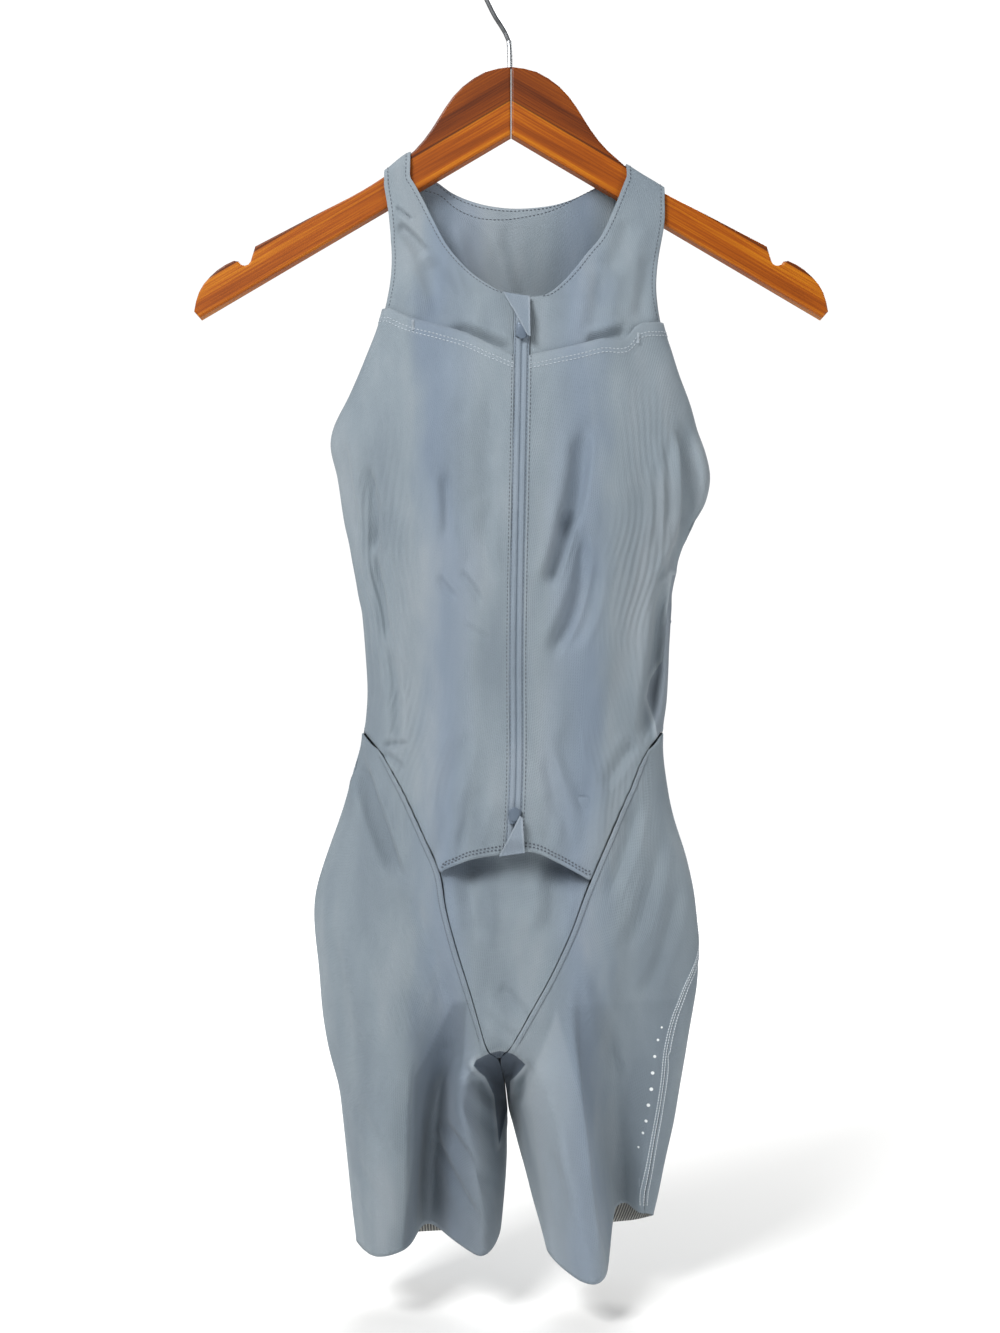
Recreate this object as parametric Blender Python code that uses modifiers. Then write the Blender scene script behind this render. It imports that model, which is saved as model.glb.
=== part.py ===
"""A sleeveless running one-piece, hung on a flat wooden hanger.

The frame: +X is the viewer's right, -Y the front, +Z up. The origin is the inside top of the
hanger's hook, where a rail carries it. Sizes below are in millimetres.

The cloth is one smooth skin. It is given by two kinds of level sections, one for the body and
one for each leg, and by a table of folds. A point on the skin is named by its side (-1 left or
+1 right, as seen), by q, which runs from 0 at the centre front over 1 at the side to 2 at the
centre back, and by its height z. Each cut piece is a patch of that skin with its own wall.
"""

import functools
import math
from collections import namedtuple

import bmesh
import bpy

MM = 0.001

# Walls, seams and the order of the layers
WALL = 1.2                  # knitted cloth
GRIP_WALL = 0.8             # elastic inside each leg hem
SEAM = 0.2                  # half of the gap at a seam
SEAM_V = 0.45               # level gap from the diagonal seam to the pieces inside it
LAYER = 1.7                 # from one cloth's outer face to the next one's behind it

# The hanger
WOOD_THICK = 12.0
WOOD_BEVEL = 1.5
UNDERSIDE_TOP = -141.6      # the underside is one straight line on each arm
UNDERSIDE_SLOPE = -0.588
WIRE = 3.5                  # hook wire, diameter
HOOK_RADIUS = 23.3          # centre line of the ring

# Heights that name the garment's lines
WAIST = -562.0              # where body, legs and seat meet at the side
KNOT = -573.0               # where that seam turns down into the front's diagonal seam
SHORTS_TOP = -605.0         # upper edge of the front panel behind the body's hem
FRONT_CROTCH = -783.0       # lower end of that panel's front face
BACK_CROTCH = -836.0        # where the legs part
HEM = -917.0                # a leg's hem, before the drop of each part of it
GRIP_CLEAR = 0.5            # between that elastic and the leg's wall
GRIP_ROWS = 2               # its height in rows of a leg's grid
GRIP_END = 0.004            # share left free where its ends meet at the inner leg

# Body sections: silhouette, depth in front and behind, half of the armhole's open slit
Section = namedtuple("Section", "z left right front back slit")
BODY = [
    Section(-150, -91, 107, -9, 9, 9.0),
    Section(-172, -90, 107, -9, 9, 9.0),
    Section(-200, -86, 108, -13, 13, 9.0),
    Section(-230, -85, 104, -20, 18, 10.0),
    Section(-266, -90, 104, -29, 24, 12.0),
    Section(-300, -102, 114, -36, 29, 12.0),
    Section(-327, -114, 124, -41, 33, 9.0),
    Section(-356, -127, 133, -44, 36, 1.0),
    Section(-384, -122, 140, -46, 37, 0.0),
    Section(-412, -117, 130, -46, 36, 0.0),
    Section(-440, -112, 118, -44, 34, 0.0),
    Section(-497, -104, 112, -38, 30, 0.0),
    Section(-540, -102, 110, -34, 28, 0.0),
    Section(-567, -105, 107, -35, 30, 0.0),
    Section(-600, -114, 110, -38, 34, 0.0),
    Section(-640, -127, 119, -41, 40, 0.0),
    Section(-680, -138, 130, -40, 43, 0.0),
]

# The centre front in front view, down to where the legs part, and its depth below the waist,
# where it runs back under the crotch
CENTRE = [(-150, 9), (-300, 7), (-500, 3.4), (-600, 3), (-680, -2), (-735, -5), (-783, -9),
          (-810, -5), (-836, -2)]
SADDLE = [(-600, -38), (-680, -40), (-735, -36), (-783, -30), (-810, 8), (-836, 36)]

# Leg sections, from the inner leg outwards. The ridge is the inner thigh's front, the valley
# the long hollow, the bank its sharp side, the lobe the outer thigh.
Leg = namedtuple("Leg", "z outer outer_y lobe_x lobe_y bank_x bank_y valley_x valley_y"
                        " ridge_x ridge_y back")
LEFT_LEG = [
    Leg(-600, -114, 0, -101, -17, -86, -25, -67, -31, -35, -36, 34),
    Leg(-680, -138, 0, -122, -22, -104, -29, -78, -34, -42, -38, 43),
    Leg(-735, -135, 0, -106, -36, -80, -37, -52, -31, -30, -36, 44),
    Leg(-783, -129, 0, -92, -41, -68, -38, -45, -12, -24, -32, 42),
    Leg(-810, -122, 0, -91, -43, -68, -37, -50, 0, -34, -30, 39),
    Leg(-836, -119, 0, -91, -44, -69, -36, -54, 6, -29, -32, 36),
    Leg(-880, -114, 0, -92, -45, -70, -36, -57, 12, -21, -36, 33),
    Leg(-930, -109, 0, -90, -46, -71, -36, -58, 16, -22, -40, 32),
]
RIGHT_LEG = [
    Leg(-600, 110, 0, 98, -15, 55, -32, 76, -26, 33, -35, 34),
    Leg(-680, 130, 0, 114, -19, 64, -36, 88, -30, 38, -38, 43),
    Leg(-735, 132, 1, 110, -18, 50, -38, 78, -27, 30, -40, 44),
    Leg(-783, 124, 2, 104, -17, 48, -39, 70, -14, 22, -40, 42),
    Leg(-810, 120, 4, 99, -13, 50, -41, 71, -6, 26, -44, 39),
    Leg(-836, 116, 6, 98, -8, 52, -43, 72, 0, 29, -46, 36),
    Leg(-880, 107, 10, 94, -1, 58, -46, 76, 8, 37, -51, 33),
    Leg(-930, 97, 15, 88, 7, 65, -47, 78, 14, 47, -54, 34),
]
# The inner leg's line below the crotch
Inner = namedtuple("Inner", "z x y")
LEFT_INNER = [Inner(-836, -2, 36), Inner(-880, -4, 14), Inner(-930, -10, -4)]
RIGHT_INNER = [Inner(-836, -2, 36), Inner(-880, 12, 10), Inner(-930, 27, -12)]
LEG_ORDER = {-1: ("ridge", "valley", "bank", "lobe"), 1: ("ridge", "bank", "valley", "lobe")}
LEG_KNOTS = (0.0, 0.18, 0.36, 0.54, 0.74, 1.0, 1.25, 1.5, 1.78, 2.0)
LEG_FROM, LEG_FULL = -600.0, -690.0     # the body's sections give way to the legs' here

# Folds that a hand would feel: a trough's line in front view, its half width and depth
Fold = namedtuple("Fold", "name z_top z_end x_top x_mid x_end width depth")
FOLDS = [
    Fold("right waist groove", -455, -566, 108, 102, 95, 5.5, 17.0),
    Fold("right chest", -345, -466, 50, 44, 26, 8.0, 5.0),
    Fold("right rib", -418, -512, 50, 51, 29, 7.0, 4.5),
    Fold("right underarm", -345, -428, 117, 127, 121, 6.0, 6.0),
    Fold("left side", -366, -530, -103, -94, -82, 7.0, 5.0),
    Fold("left chest", -376, -436, -46, -40, -32, 7.0, 3.5),
    Fold("left yoke", -200, -278, -78, -58, -40, 8.0, 3.0),
    Fold("left hip", -572, -662, -104, -98, -74, 7.0, 5.0),
    Fold("right hem", -600, -650, 36, 38, 42, 6.0, 3.0),
    Fold("left hem", -600, -650, -30, -32, -36, 6.0, 3.0),
]

# Seams and edges in front view, x and z
LEFT_V = [(-104, -562), (-93, -573), (-80, -593), (-69, -614), (-58, -637), (-49, -658),
          (-45.5, -679), (-37, -712), (-28, -741), (-22, -762), (-15.5, -783)]
RIGHT_V = [(106, -562), (96, -573), (82, -602), (69, -630), (60, -650), (52, -669),
           (41, -698), (27, -728), (11, -757), (-3.5, -783)]
FRONT_HEM = [(-49, -656), (-28, -647.5), (-8, -644), (9, -642), (18, -643.4), (33, -650),
             (55, -663)]
LEFT_POCKET = [(-90, -266), (-75, -273), (-50.5, -280), (-26.5, -288), (-10, -296), (3, -302)]
RIGHT_POCKET = [(12, -302), (42.5, -295), (59, -290.5), (80, -287), (86, -281), (105, -276)]
LEFT_NECK = [(-70.8, -172), (-63, -186), (-53.6, -205), (-45.3, -221), (-34, -236),
             (-21.6, -247), (-5.7, -256.5), (2.6, -258.5)]
RIGHT_NECK = [(81, -172), (74, -190), (67.3, -206), (61.7, -217), (53, -227.5), (42, -242),
              (33.7, -251), (22, -259), (12.8, -259.5)]
BACK_NECK = [(-70.8, -167.4), (-52, -172), (-45, -177), (-25, -185.5), (-5, -189), (15, -189),
             (35, -186), (50, -180.5), (62, -174.5), (81, -167.4)]
LEFT_BACK_ARMHOLE = [(-90, -172), (-81, -205), (-78, -240), (-84, -280), (-101, -322),
                     (-127, -356)]
RIGHT_BACK_ARMHOLE = [(107, -184), (99, -205), (94, -240), (100, -280), (114, -322),
                      (133, -356)]
RIGHT_LEG_SEAM = [(130, -714), (122, -742), (114.5, -760), (109.5, -780), (107, -806),
                  (104, -829), (100, -854), (95, -887), (93, -900), (92, -930)]
LEFT_SIDE_SEAM = 1.08       # q of the left leg's outer seam, just behind the side
RIGHT_SIDE_SEAM = 1.04      # and of the right one's upper end
POCKET_LAP = 26.0           # how far the yoke runs on behind the body's upper hem

# The drop of a leg's hem below HEM, by q
LEFT_HEM_DROP = [(0.0, -6), (0.18, 2), (0.36, -3), (0.74, 0), (1.0, 3), (1.5, 7), (2.0, -6)]
RIGHT_HEM_DROP = [(0.0, 6), (0.18, 14), (0.36, 12), (0.54, -16), (0.74, -15), (1.0, -10),
                  (1.5, 2), (2.0, 6)]

# The zip
TAPE_HALF = 4.8             # half of the covered strip between the body's edges
ZIP_TOP, ZIP_END = -262.0, -640.5
SLIDER = (8.0, 3.2, 10.0)   # width, thickness, height
TOP_SLIDER_Z, END_SLIDER_Z = -284.5, -618.0

# How the layers stand off each other
HEM_FLARE = 3.0             # the body's free front hem
POCKET_GAPE = 2.0           # the body's upper hem, which is the pockets' mouth
FOLD_CLEAR = 5.0            # what a fold leaves free in front of the cloth behind it
SHORTS_SINK = 7.0           # the shorts' front panel behind the body's hem
CROTCH_NARROWS = -779.0     # where that panel begins to turn under the crotch
CROTCH_WRAP = 18.0          # height in which its side edges then run together
EDGE_CELLS = (0.012, 0.012)     # width of a grid's edge cells, as shares of its columns and rows
GRIP_EDGES = (0.010, 0.05)      # and of the elastic's, round the leg and up it
SIDE_GAP = 0.004            # q kept clear at the side seam
LEG_ROWS = 20
FRONT_COLUMNS, BACK_COLUMNS = 14, 12
BODY_COLUMNS = 13
CORNER_COLUMN = 8 / 13      # the grid line at the corner of a body piece's lower edge

# The straps: heights at the outer and inner edge where each turns over its arm, in front and
# behind, by side
STRAP_BASE = {-1: (-178.0, -172.0), 1: (-190.0, -172.0)}
STRAP_BACK = {-1: (-178.0, -167.0), 1: (-190.0, -167.0)}
STRAP_FROM = 0.6            # v of that turn
STRAP_RISE = 2.1            # from the wood to the strap's outer face, upright, on the slope
STRAP_HUMP = 2.5            # how much further its outer edge stands off
STRAP_SQUARE = 0.5          # power that makes the turn follow the arm's square section
YOKE_ZIP_SHARE = 0.34       # share of a yoke's inner edge that runs along the zip
STRAP_SHARE = 0.14          # share of the back's upper edge at each strap

# The zip's two guards: upper and lower edge as x, x, z, z, and their lift at both
TOP_FLAP = ((-5.7, 13.0, -257.0, -260.0), (11.0, 13.0, -289.0, -290.0), (0.4, 4.9))
END_FLAP = ((5.6, 7.6, -617.0, -618.5), (-8.4, 9.2, -645.0, -642.5), (4.9, 0.4))
STRIP_PROUD = 0.3

# The hanger's outline on one side, and the hook's stem
ARM_TOP = [(0, -93.6), (16.5, -96.5), (25, -100.8), (33.5, -107), (42, -116), (50.5, -129),
           (59, -142), (67.5, -152), (76, -159.5), (88, -170), (101, -178.5), (140, -199),
           (180, -220)]
NOTCH = (187.5, -224.5)
ARM_ROUND = [(195, -230), (203, -234), (211.5, -241), (218, -249), (222, -260), (222.5, -268),
             (219, -270.5)]
STEM = [(-0.7, -93.2), (-0.9, -82), (-1.4, -74), (-4.5, -67), (-10.6, -57.6), (-16, -47),
        (-21.5, -34), (-23.3, -21.6)]
HOOK_STEPS = 26

CLOTH_COLOUR = (0.25, 0.30, 0.36)
WOOD_COLOUR = (0.40, 0.13, 0.02)
STEEL_COLOUR = (0.35, 0.36, 0.37)
METAL_COLOUR = (0.12, 0.14, 0.17)


def between(low, value, high):
    """0 below low, 1 above high, and a smooth rise between."""
    t = min(1.0, max(0.0, (value - low) / (high - low)))
    return t * t * (3 - 2 * t)


def curve_at(keys, values, key):
    """The value at a key on a smooth curve through the rows, held at both ends."""
    if keys[0] > keys[-1]:
        keys, values = keys[::-1], values[::-1]
    if key <= keys[0]:
        return values[0]
    if key >= keys[-1]:
        return values[-1]
    i = max(n for n in range(len(keys) - 1) if keys[n] <= key)
    span = keys[i + 1] - keys[i]
    t = (key - keys[i]) / span

    def slope(n):
        if n == 0 or n == len(keys) - 1:
            other = min(n + 1, len(keys) - 1) if n == 0 else n - 1
            return (values[other] - values[n]) / (keys[other] - keys[n])
        before, after = keys[n] - keys[n - 1], keys[n + 1] - keys[n]
        rise = (values[n] - values[n - 1]) / before * after
        return (rise + (values[n + 1] - values[n]) / after * before) / (before + after)

    a, b, c = t * t * (3 - 2 * t), t * (1 - t) ** 2, t * t * (t - 1)
    return values[i] * (1 - a) + values[i + 1] * a + span * (slope(i) * b + slope(i + 1) * c)


@functools.lru_cache(maxsize=None)
def body_row(z):
    keys = [row.z for row in BODY]
    return Section(z, *(curve_at(keys, [row[n] for row in BODY], z) for n in range(1, 6)))


@functools.lru_cache(maxsize=None)
def leg_row(side, z):
    table = LEFT_LEG if side < 0 else RIGHT_LEG
    keys = [row.z for row in table]
    return Leg(z, *(curve_at(keys, [row[n] for row in table], z) for n in range(1, 12)))


def table_at(table, key):
    """The second column of a table, read at a value of its first."""
    return curve_at([row[0] for row in table], [row[1] for row in table], key)


@functools.lru_cache(maxsize=None)
def centre(z):
    return table_at(CENTRE, z)


def inner_leg(side, z):
    """x and y of the centre front, then of the inner leg."""
    if z > BACK_CROTCH:
        return centre(z), table_at(SADDLE, z)
    table = LEFT_INNER if side < 0 else RIGHT_INNER
    return (curve_at([row.z for row in table], [row[n] for row in table], z) for n in (1, 2))


def body_point(side, q, z):
    """x and y of the body's lens-shaped section."""
    row = body_row(z)
    outer = row.left if side < 0 else row.right
    x = centre(z) + (outer - centre(z)) * math.sin(math.pi * q / 2)
    fullness = abs(math.cos(math.pi * q / 2))
    if q <= 1:
        return x, -row.slit + (row.front + row.slit) * fullness
    return x, row.slit + (row.back - row.slit) * fullness


@functools.lru_cache(maxsize=None)
def leg_ring(side, z):
    """The corner points and end tangents of one leg's section."""
    row = leg_row(side, z)
    front = [(getattr(row, name + "_x"), getattr(row, name + "_y")) for name in LEG_ORDER[side]]
    inner_x, inner_y = inner_leg(side, z)
    end_y = inner_y if z < BACK_CROTCH else row.back
    width = inner_x - row.outer
    behind = [(row.outer + 0.13 * width, 0.72 * row.back), (row.outer + 0.46 * width, row.back),
              (row.outer + 0.82 * width, 0.55 * row.back + 0.45 * end_y)]
    points = [(inner_x, inner_y), *front, (row.outer, row.outer_y), *behind, (inner_x, end_y)]
    under = math.pi / 2 * between(-FRONT_CROTCH, -z, -BACK_CROTCH)
    past = math.pi / 2 * between(-BACK_CROTCH, -z, -BACK_CROTCH + 34)
    start = (side * 150 * math.cos(under), -150 * math.sin(under))
    end = (-side * 150 * math.cos(past), -110 * math.sin(past))
    return points, start, end


def leg_point(side, q, z):
    points, start, end = leg_ring(side, z)
    i = max(n for n in range(len(LEG_KNOTS) - 1) if LEG_KNOTS[n] <= q)
    span = LEG_KNOTS[i + 1] - LEG_KNOTS[i]
    t = (q - LEG_KNOTS[i]) / span

    def slope(n, axis):
        if n == 0:
            return start[axis]
        if n == len(points) - 1:
            return end[axis]
        before = LEG_KNOTS[n] - LEG_KNOTS[n - 1]
        after = LEG_KNOTS[n + 1] - LEG_KNOTS[n]
        rise = (points[n][axis] - points[n - 1][axis]) / before * after
        return (rise + (points[n + 1][axis] - points[n][axis]) / after * before) / (before + after)

    a, b, c = t * t * (3 - 2 * t), t * (1 - t) ** 2, t * t * (t - 1)
    return tuple(points[i][n] * (1 - a) + points[i + 1][n] * a
                 + span * (slope(i, n) * b + slope(i + 1, n) * c) for n in (0, 1))


def fold_depth(x, z):
    """How far the front is pushed back by the folds at one place."""
    depth = 0.0
    for fold in FOLDS:
        t = (fold.z_top - z) / (fold.z_top - fold.z_end)
        if not 0 < t < 1:
            continue
        line = fold.x_top * (1 - t) ** 2 + fold.x_end * t * t
        line += (4 * fold.x_mid - fold.x_top - fold.x_end) * t * (1 - t)
        along = math.sin(math.pi * t) ** 0.7
        depth += fold.depth * along * math.exp(-((x - line) / fold.width) ** 2)
    return depth


def smooth_skin(side, q, z):
    """x and y of the skin without its folds."""
    weight = between(-LEG_FROM, -z, -LEG_FULL)
    x, y = body_point(side, q, z) if weight < 1 else (0.0, 0.0)
    if weight > 0:
        leg_x, leg_y = leg_point(side, q, z)
        x, y = x + (leg_x - x) * weight, y + (leg_y - y) * weight
    return x, y


@functools.lru_cache(maxsize=None)
def bare_skin(side, q, z):
    """x and y of the skin; a fold goes no deeper than the cloth behind it allows."""
    x, y = smooth_skin(side, q, z)
    depth = fold_depth(x, z) if q < 1 else 0.0
    if depth < 0.01:
        return x, y
    room = max(0.1, smooth_skin(side, 2 - q, z)[1] - y - FOLD_CLEAR)
    return x, y + room * math.tanh(depth / room)


def skin(side, q, z, lift=0.0):
    """A point of the skin in millimetres, lifted outwards within its level section."""
    x, y = bare_skin(side, q, z)
    if lift:
        low, high = max(0.0, q - 0.01), min(2.0, q + 0.01)
        a, b = bare_skin(side, low, z), bare_skin(side, high, z)
        step = math.dist(a, b) or 1.0
        x += side * lift * (b[1] - a[1]) / step
        y -= side * lift * (b[0] - a[0]) / step
    return x, y, z


def skin_q(x, z):
    """The side and q at which the front skin passes x at one height."""
    middle = skin(1, 0.0, z)[0]
    side = 1 if x > middle else -1
    low, high = 0.0, 1.0
    for _ in range(24):
        half = (low + high) / 2
        if (skin(side, half, z)[0] - x) * side < 0:
            low = half
        else:
            high = half
    return side, (low + high) / 2


def front(x, z, lift=0.0):
    side, q = skin_q(x, z)
    return skin(side, q, z, lift)


def inset(side, q, z, distance):
    """q moved outwards along its level section by a distance."""
    speed = math.dist(bare_skin(side, q, z), bare_skin(side, q + 0.005, z)) / 0.005
    return q + distance / max(20.0, speed)


def line_x(line, z):
    return curve_at([p[1] for p in line], [p[0] for p in line], z)


def line_z(line, x):
    return table_at(line, x)


def along(line, t):
    """The point at a share t of a line's length."""
    steps = [math.dist(a, b) for a, b in zip(line, line[1:])]
    sums = [sum(steps[:n]) for n in range(len(line))]
    keys = [s / sums[-1] for s in sums]
    return tuple(curve_at(keys, [p[n] for p in line], t) for n in (0, 1))


def patch(left, right, top, bottom, s, t):
    """A four-sided patch: s from left to right, t from bottom to top."""
    a, b, c, d = left(t), right(t), bottom(s), top(s)
    corners = (bottom(0), bottom(1), top(0), top(1))
    return tuple((1 - s) * a[n] + s * b[n] + (1 - t) * c[n] + t * d[n]
                 - (1 - s) * (1 - t) * corners[0][n] - s * (1 - t) * corners[1][n]
                 - (1 - s) * t * corners[2][n] - s * t * corners[3][n] for n in (0, 1))


# The pieces' places: each takes u and v, 0 to 1, and gives millimetres. Seen from outside the
# garment, u runs to the right and v up.

def hem_flare(x, z):
    """How far the body's free front hem stands off what is behind it."""
    half = max(10.0, (line_x(RIGHT_V, z) - line_x(LEFT_V, z)) / 2)
    middle = (line_x(RIGHT_V, z) + line_x(LEFT_V, z)) / 2
    return HEM_FLARE * between(590, -z, 645) * max(0.0, 1 - ((x - middle) / half) ** 2)


def pocket_gape(x, z, line):
    """How far the body's upper hem stands off the yoke, most at half its length."""
    share = min(1.0, max(0.0, (x - line[0][0]) / (line[-1][0] - line[0][0])))
    near = between(-40, z - line_z(line, x), 0)
    return POCKET_GAPE * near * math.sin(math.pi * share)


def body_share_q(side, share, z):
    """q at a share of the way from the side seam to the zip."""
    return 1 - SIDE_GAP - (1 - SIDE_GAP - zip_q(side, z)) * share


@functools.lru_cache(maxsize=None)
def zip_q(side, z):
    """q of a body piece's edge at the zip."""
    return skin_q(centre(z) + side * (TAPE_HALF + SEAM), z)[1]


@functools.lru_cache(maxsize=None)
def body_low_edge(side, share):
    """The height of a body piece's lower edge: the diagonal seam, then the free hem."""
    seam = LEFT_V if side < 0 else RIGHT_V
    if share > hem_corner_share(side):
        corner = FRONT_HEM[0] if side < 0 else FRONT_HEM[-1]
        return line_z(FRONT_HEM, skin(side, body_share_q(side, share, corner[1]), corner[1])[0])
    low, high = seam[-1][1], WAIST
    for _ in range(20):
        z = (low + high) / 2
        x = skin(side, body_share_q(side, share, z), z)[0]
        low, high = (low, z) if (line_x(seam, z) - x) * side > SEAM_V else (z, high)
    return z + SEAM


@functools.lru_cache(maxsize=None)
def hem_corner_share(side):
    """The share at which a body piece's diagonal seam meets its free hem."""
    corner = FRONT_HEM[0] if side < 0 else FRONT_HEM[-1]
    low, high = 0.0, 1.0
    for _ in range(20):
        share = (low + high) / 2
        x = skin(side, body_share_q(side, share, corner[1]), corner[1])[0]
        low, high = (share, high) if (corner[0] - x) * side < 0 else (low, share)
    return share


def body_front(side, u, v):
    """One front body piece; u runs from the side seam to the zip."""
    pocket = LEFT_POCKET if side < 0 else RIGHT_POCKET
    corner = hem_corner_share(side)
    if u < CORNER_COLUMN:
        share = corner * u / CORNER_COLUMN
    else:
        share = corner + (1 - corner) * (u - CORNER_COLUMN) / (1 - CORNER_COLUMN)
    z_low = body_low_edge(side, share)
    z_top = line_z(pocket, skin(side, body_share_q(side, share, -285.0), -285.0)[0])
    z = z_low + (z_top - z_low) * v
    q = body_share_q(side, share, z)
    x = skin(side, q, z)[0]
    return skin(side, q, z, hem_flare(x, z) + pocket_gape(x, z, pocket))


def arm_top(x):
    """The upper edge of a hanger arm."""
    return line_z(ARM_TOP, abs(x))


def yoke_front(side, u, v):
    """Yoke and strap; u runs from the armhole to the neck and the zip's edge."""
    armhole_low = (LEFT_POCKET[0] if side < 0 else RIGHT_POCKET[-1])[1] - POCKET_LAP
    neck = LEFT_NECK if side < 0 else RIGHT_NECK
    zip_low = -302 - POCKET_LAP
    zip_edge = centre(zip_low) + side * (TAPE_HALF + SEAM)
    base, behind = STRAP_BASE[side], STRAP_BACK[side]
    t = min(1.0, v / STRAP_FROM)
    z_outer = armhole_low + (base[0] - armhole_low) * t
    row = body_row(z_outer)
    outer_x = (row.left if side < 0 else row.right) - side * SEAM
    if t < YOKE_ZIP_SHARE:
        inner_x, inner_z = mix((zip_edge, zip_low), neck[-1], t / YOKE_ZIP_SHARE)
    else:
        inner_x, inner_z = along(neck, 1 - (t - YOKE_ZIP_SHARE) / (1 - YOKE_ZIP_SHARE))
    x = outer_x + (inner_x - outer_x) * u
    z = z_outer + (inner_z - z_outer) * u
    if v <= STRAP_FROM:
        edge = line_z(LEFT_POCKET if side < 0 else RIGHT_POCKET, x)
        return front(x, z, -LAYER * (1 - between(edge + 18, z, edge + 70)))
    turn = math.pi * (v - STRAP_FROM) / (1 - STRAP_FROM)
    z_back = behind[0] + (behind[1] - behind[0]) * u
    z_base = z + (z_back - z) * turn / math.pi
    top = arm_top(x) + STRAP_RISE + STRAP_HUMP * (1 - u ** 4)
    y = front(x, z)[1]
    across, rise = math.cos(turn), math.sin(turn)
    y *= math.copysign(abs(across) ** STRAP_SQUARE, across)
    return x, y, z_base + (top - z_base) * max(0.0, rise) ** STRAP_SQUARE


def back_turn(x, z):
    """The back's own coordinate: 1 at the right side, 0 at the centre back, -1 at the left."""
    row = body_row(z)
    outer = row.right if x > centre(z) else row.left
    share = min(1.0, (x - centre(z)) / (outer - centre(z)))
    return math.copysign(2 / math.pi * math.asin(share), x - centre(z))


def back_body(u, v):
    """The upper back; u runs from the right side to the left."""
    strap = {side: STRAP_BACK[side][0] - 3 * SEAM for side in (-1, 1)}
    low_z = WAIST + SEAM
    right = [(1, low_z), (1, -460), (1, -358)]
    right += [(back_turn(x, z), z) for x, z in reversed(RIGHT_BACK_ARMHOLE[1:-1])]
    right.append((1, strap[1]))
    left = [(-1, low_z), (-1, -460), (-1, -358)]
    left += [(back_turn(x, z), z) for x, z in reversed(LEFT_BACK_ARMHOLE[1:-1])]
    left.append((-1, strap[-1]))

    def top(s):
        if s < STRAP_SHARE:
            x, z = mix((body_row(strap[1]).right, strap[1]), BACK_NECK[-1], s / STRAP_SHARE)
        elif s > 1 - STRAP_SHARE:
            outer = (body_row(strap[-1]).left, strap[-1])
            x, z = mix(outer, BACK_NECK[0], (1 - s) / STRAP_SHARE)
        else:
            x, z = along(BACK_NECK, 1 - (s - STRAP_SHARE) / (1 - 2 * STRAP_SHARE))
        return back_turn(x, z), z

    turn, z = patch(lambda t: height_along(right, t), lambda t: height_along(left, t), top,
                    lambda s: (1 - 2 * s, low_z), u, v)
    side = 1 if turn > 0 else -1
    return skin(side, 2 - abs(turn) * (1 - SIDE_GAP), z)


def height_along(line, t):
    """The point of a line at a share t of its height."""
    z = line[0][1] + (line[-1][1] - line[0][1]) * t
    return max(-1.0, min(1.0, line_x(line, z))), z


def mix(a, b, t):
    return tuple(p + (q - p) * t for p, q in zip(a, b))


@functools.lru_cache(maxsize=None)
def front_seam_q(side, z):
    """q of the seam at a leg front's inner edge, and of the centre line below the crotch."""
    seam = LEFT_V if side < 0 else RIGHT_V
    seam_z = max(z, FRONT_CROTCH)
    q = skin_q(line_x(seam, seam_z), seam_z)[1]
    return q * (1 - min(1.0, max(0.0, (CROTCH_NARROWS - z) / CROTCH_WRAP)))


@functools.lru_cache(maxsize=None)
def side_seam_q(side, z):
    """q of a leg's outer seam, which comes round to the front on the right leg."""
    if side < 0:
        return LEFT_SIDE_SEAM
    low = skin_q(line_x(RIGHT_LEG_SEAM, min(z, RIGHT_LEG_SEAM[0][1])), z)[1]
    return RIGHT_SIDE_SEAM + (low - RIGHT_SIDE_SEAM) * between(690, -z, 742)


def hem_drop(side, q, z):
    """z with the hem's uneven drop, which fades out up the leg."""
    table = LEFT_HEM_DROP if side < 0 else RIGHT_HEM_DROP
    drop = curve_at([row[0] for row in table], [row[1] for row in table], q)
    return z - drop * between(-BACK_CROTCH + 8, -z, -HEM)


def crotch_clearance(z):
    """The wall's room where four pieces meet under the crotch."""
    return SEAM + 1.8 * between(812, -z, 828) * (1 - between(872, -z, 888))


def leg_height(top, v):
    """z at a share v of the way from the hem to one of the leg's upper corners."""
    return HEM + (top - 2 * SEAM - HEM) * v


def leg_front(side, u, v):
    """A leg's front; u runs from the outer seam to the inner edge."""
    z_outer, z_inner = leg_height(WAIST, v), leg_height(KNOT, v)
    outer = inset(side, side_seam_q(side, z_outer), z_outer, -SEAM)
    inner = inset(side, front_seam_q(side, z_inner), z_inner, crotch_clearance(z_inner))
    q = outer + (inner - outer) * u
    return skin(side, q, hem_drop(side, q, z_outer + (z_inner - z_outer) * u))


def leg_back(side, u, v):
    """A leg's seat and back; u runs from the outer seam to the centre back or inner leg."""
    z = leg_height(WAIST, v)
    outer = inset(side, side_seam_q(side, z), z, SEAM)
    speed = math.dist(bare_skin(side, 1.995, z), bare_skin(side, 2.0, z)) / 0.005
    q = outer + (2 - SEAM / max(20.0, speed) - outer) * u
    return skin(side, q, hem_drop(side, q, z))


def grip(side, u, v):
    """The elastic's place on a leg's skin; u runs round the leg from the centre back."""
    turn = min(1 - GRIP_END, max(GRIP_END, u)) * (BACK_COLUMNS + FRONT_COLUMNS)
    up = v * GRIP_ROWS / LEG_ROWS
    if turn < BACK_COLUMNS:
        return leg_back(side, 1 - turn / BACK_COLUMNS, up)
    return leg_front(side, (turn - BACK_COLUMNS) / FRONT_COLUMNS, up)


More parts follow.
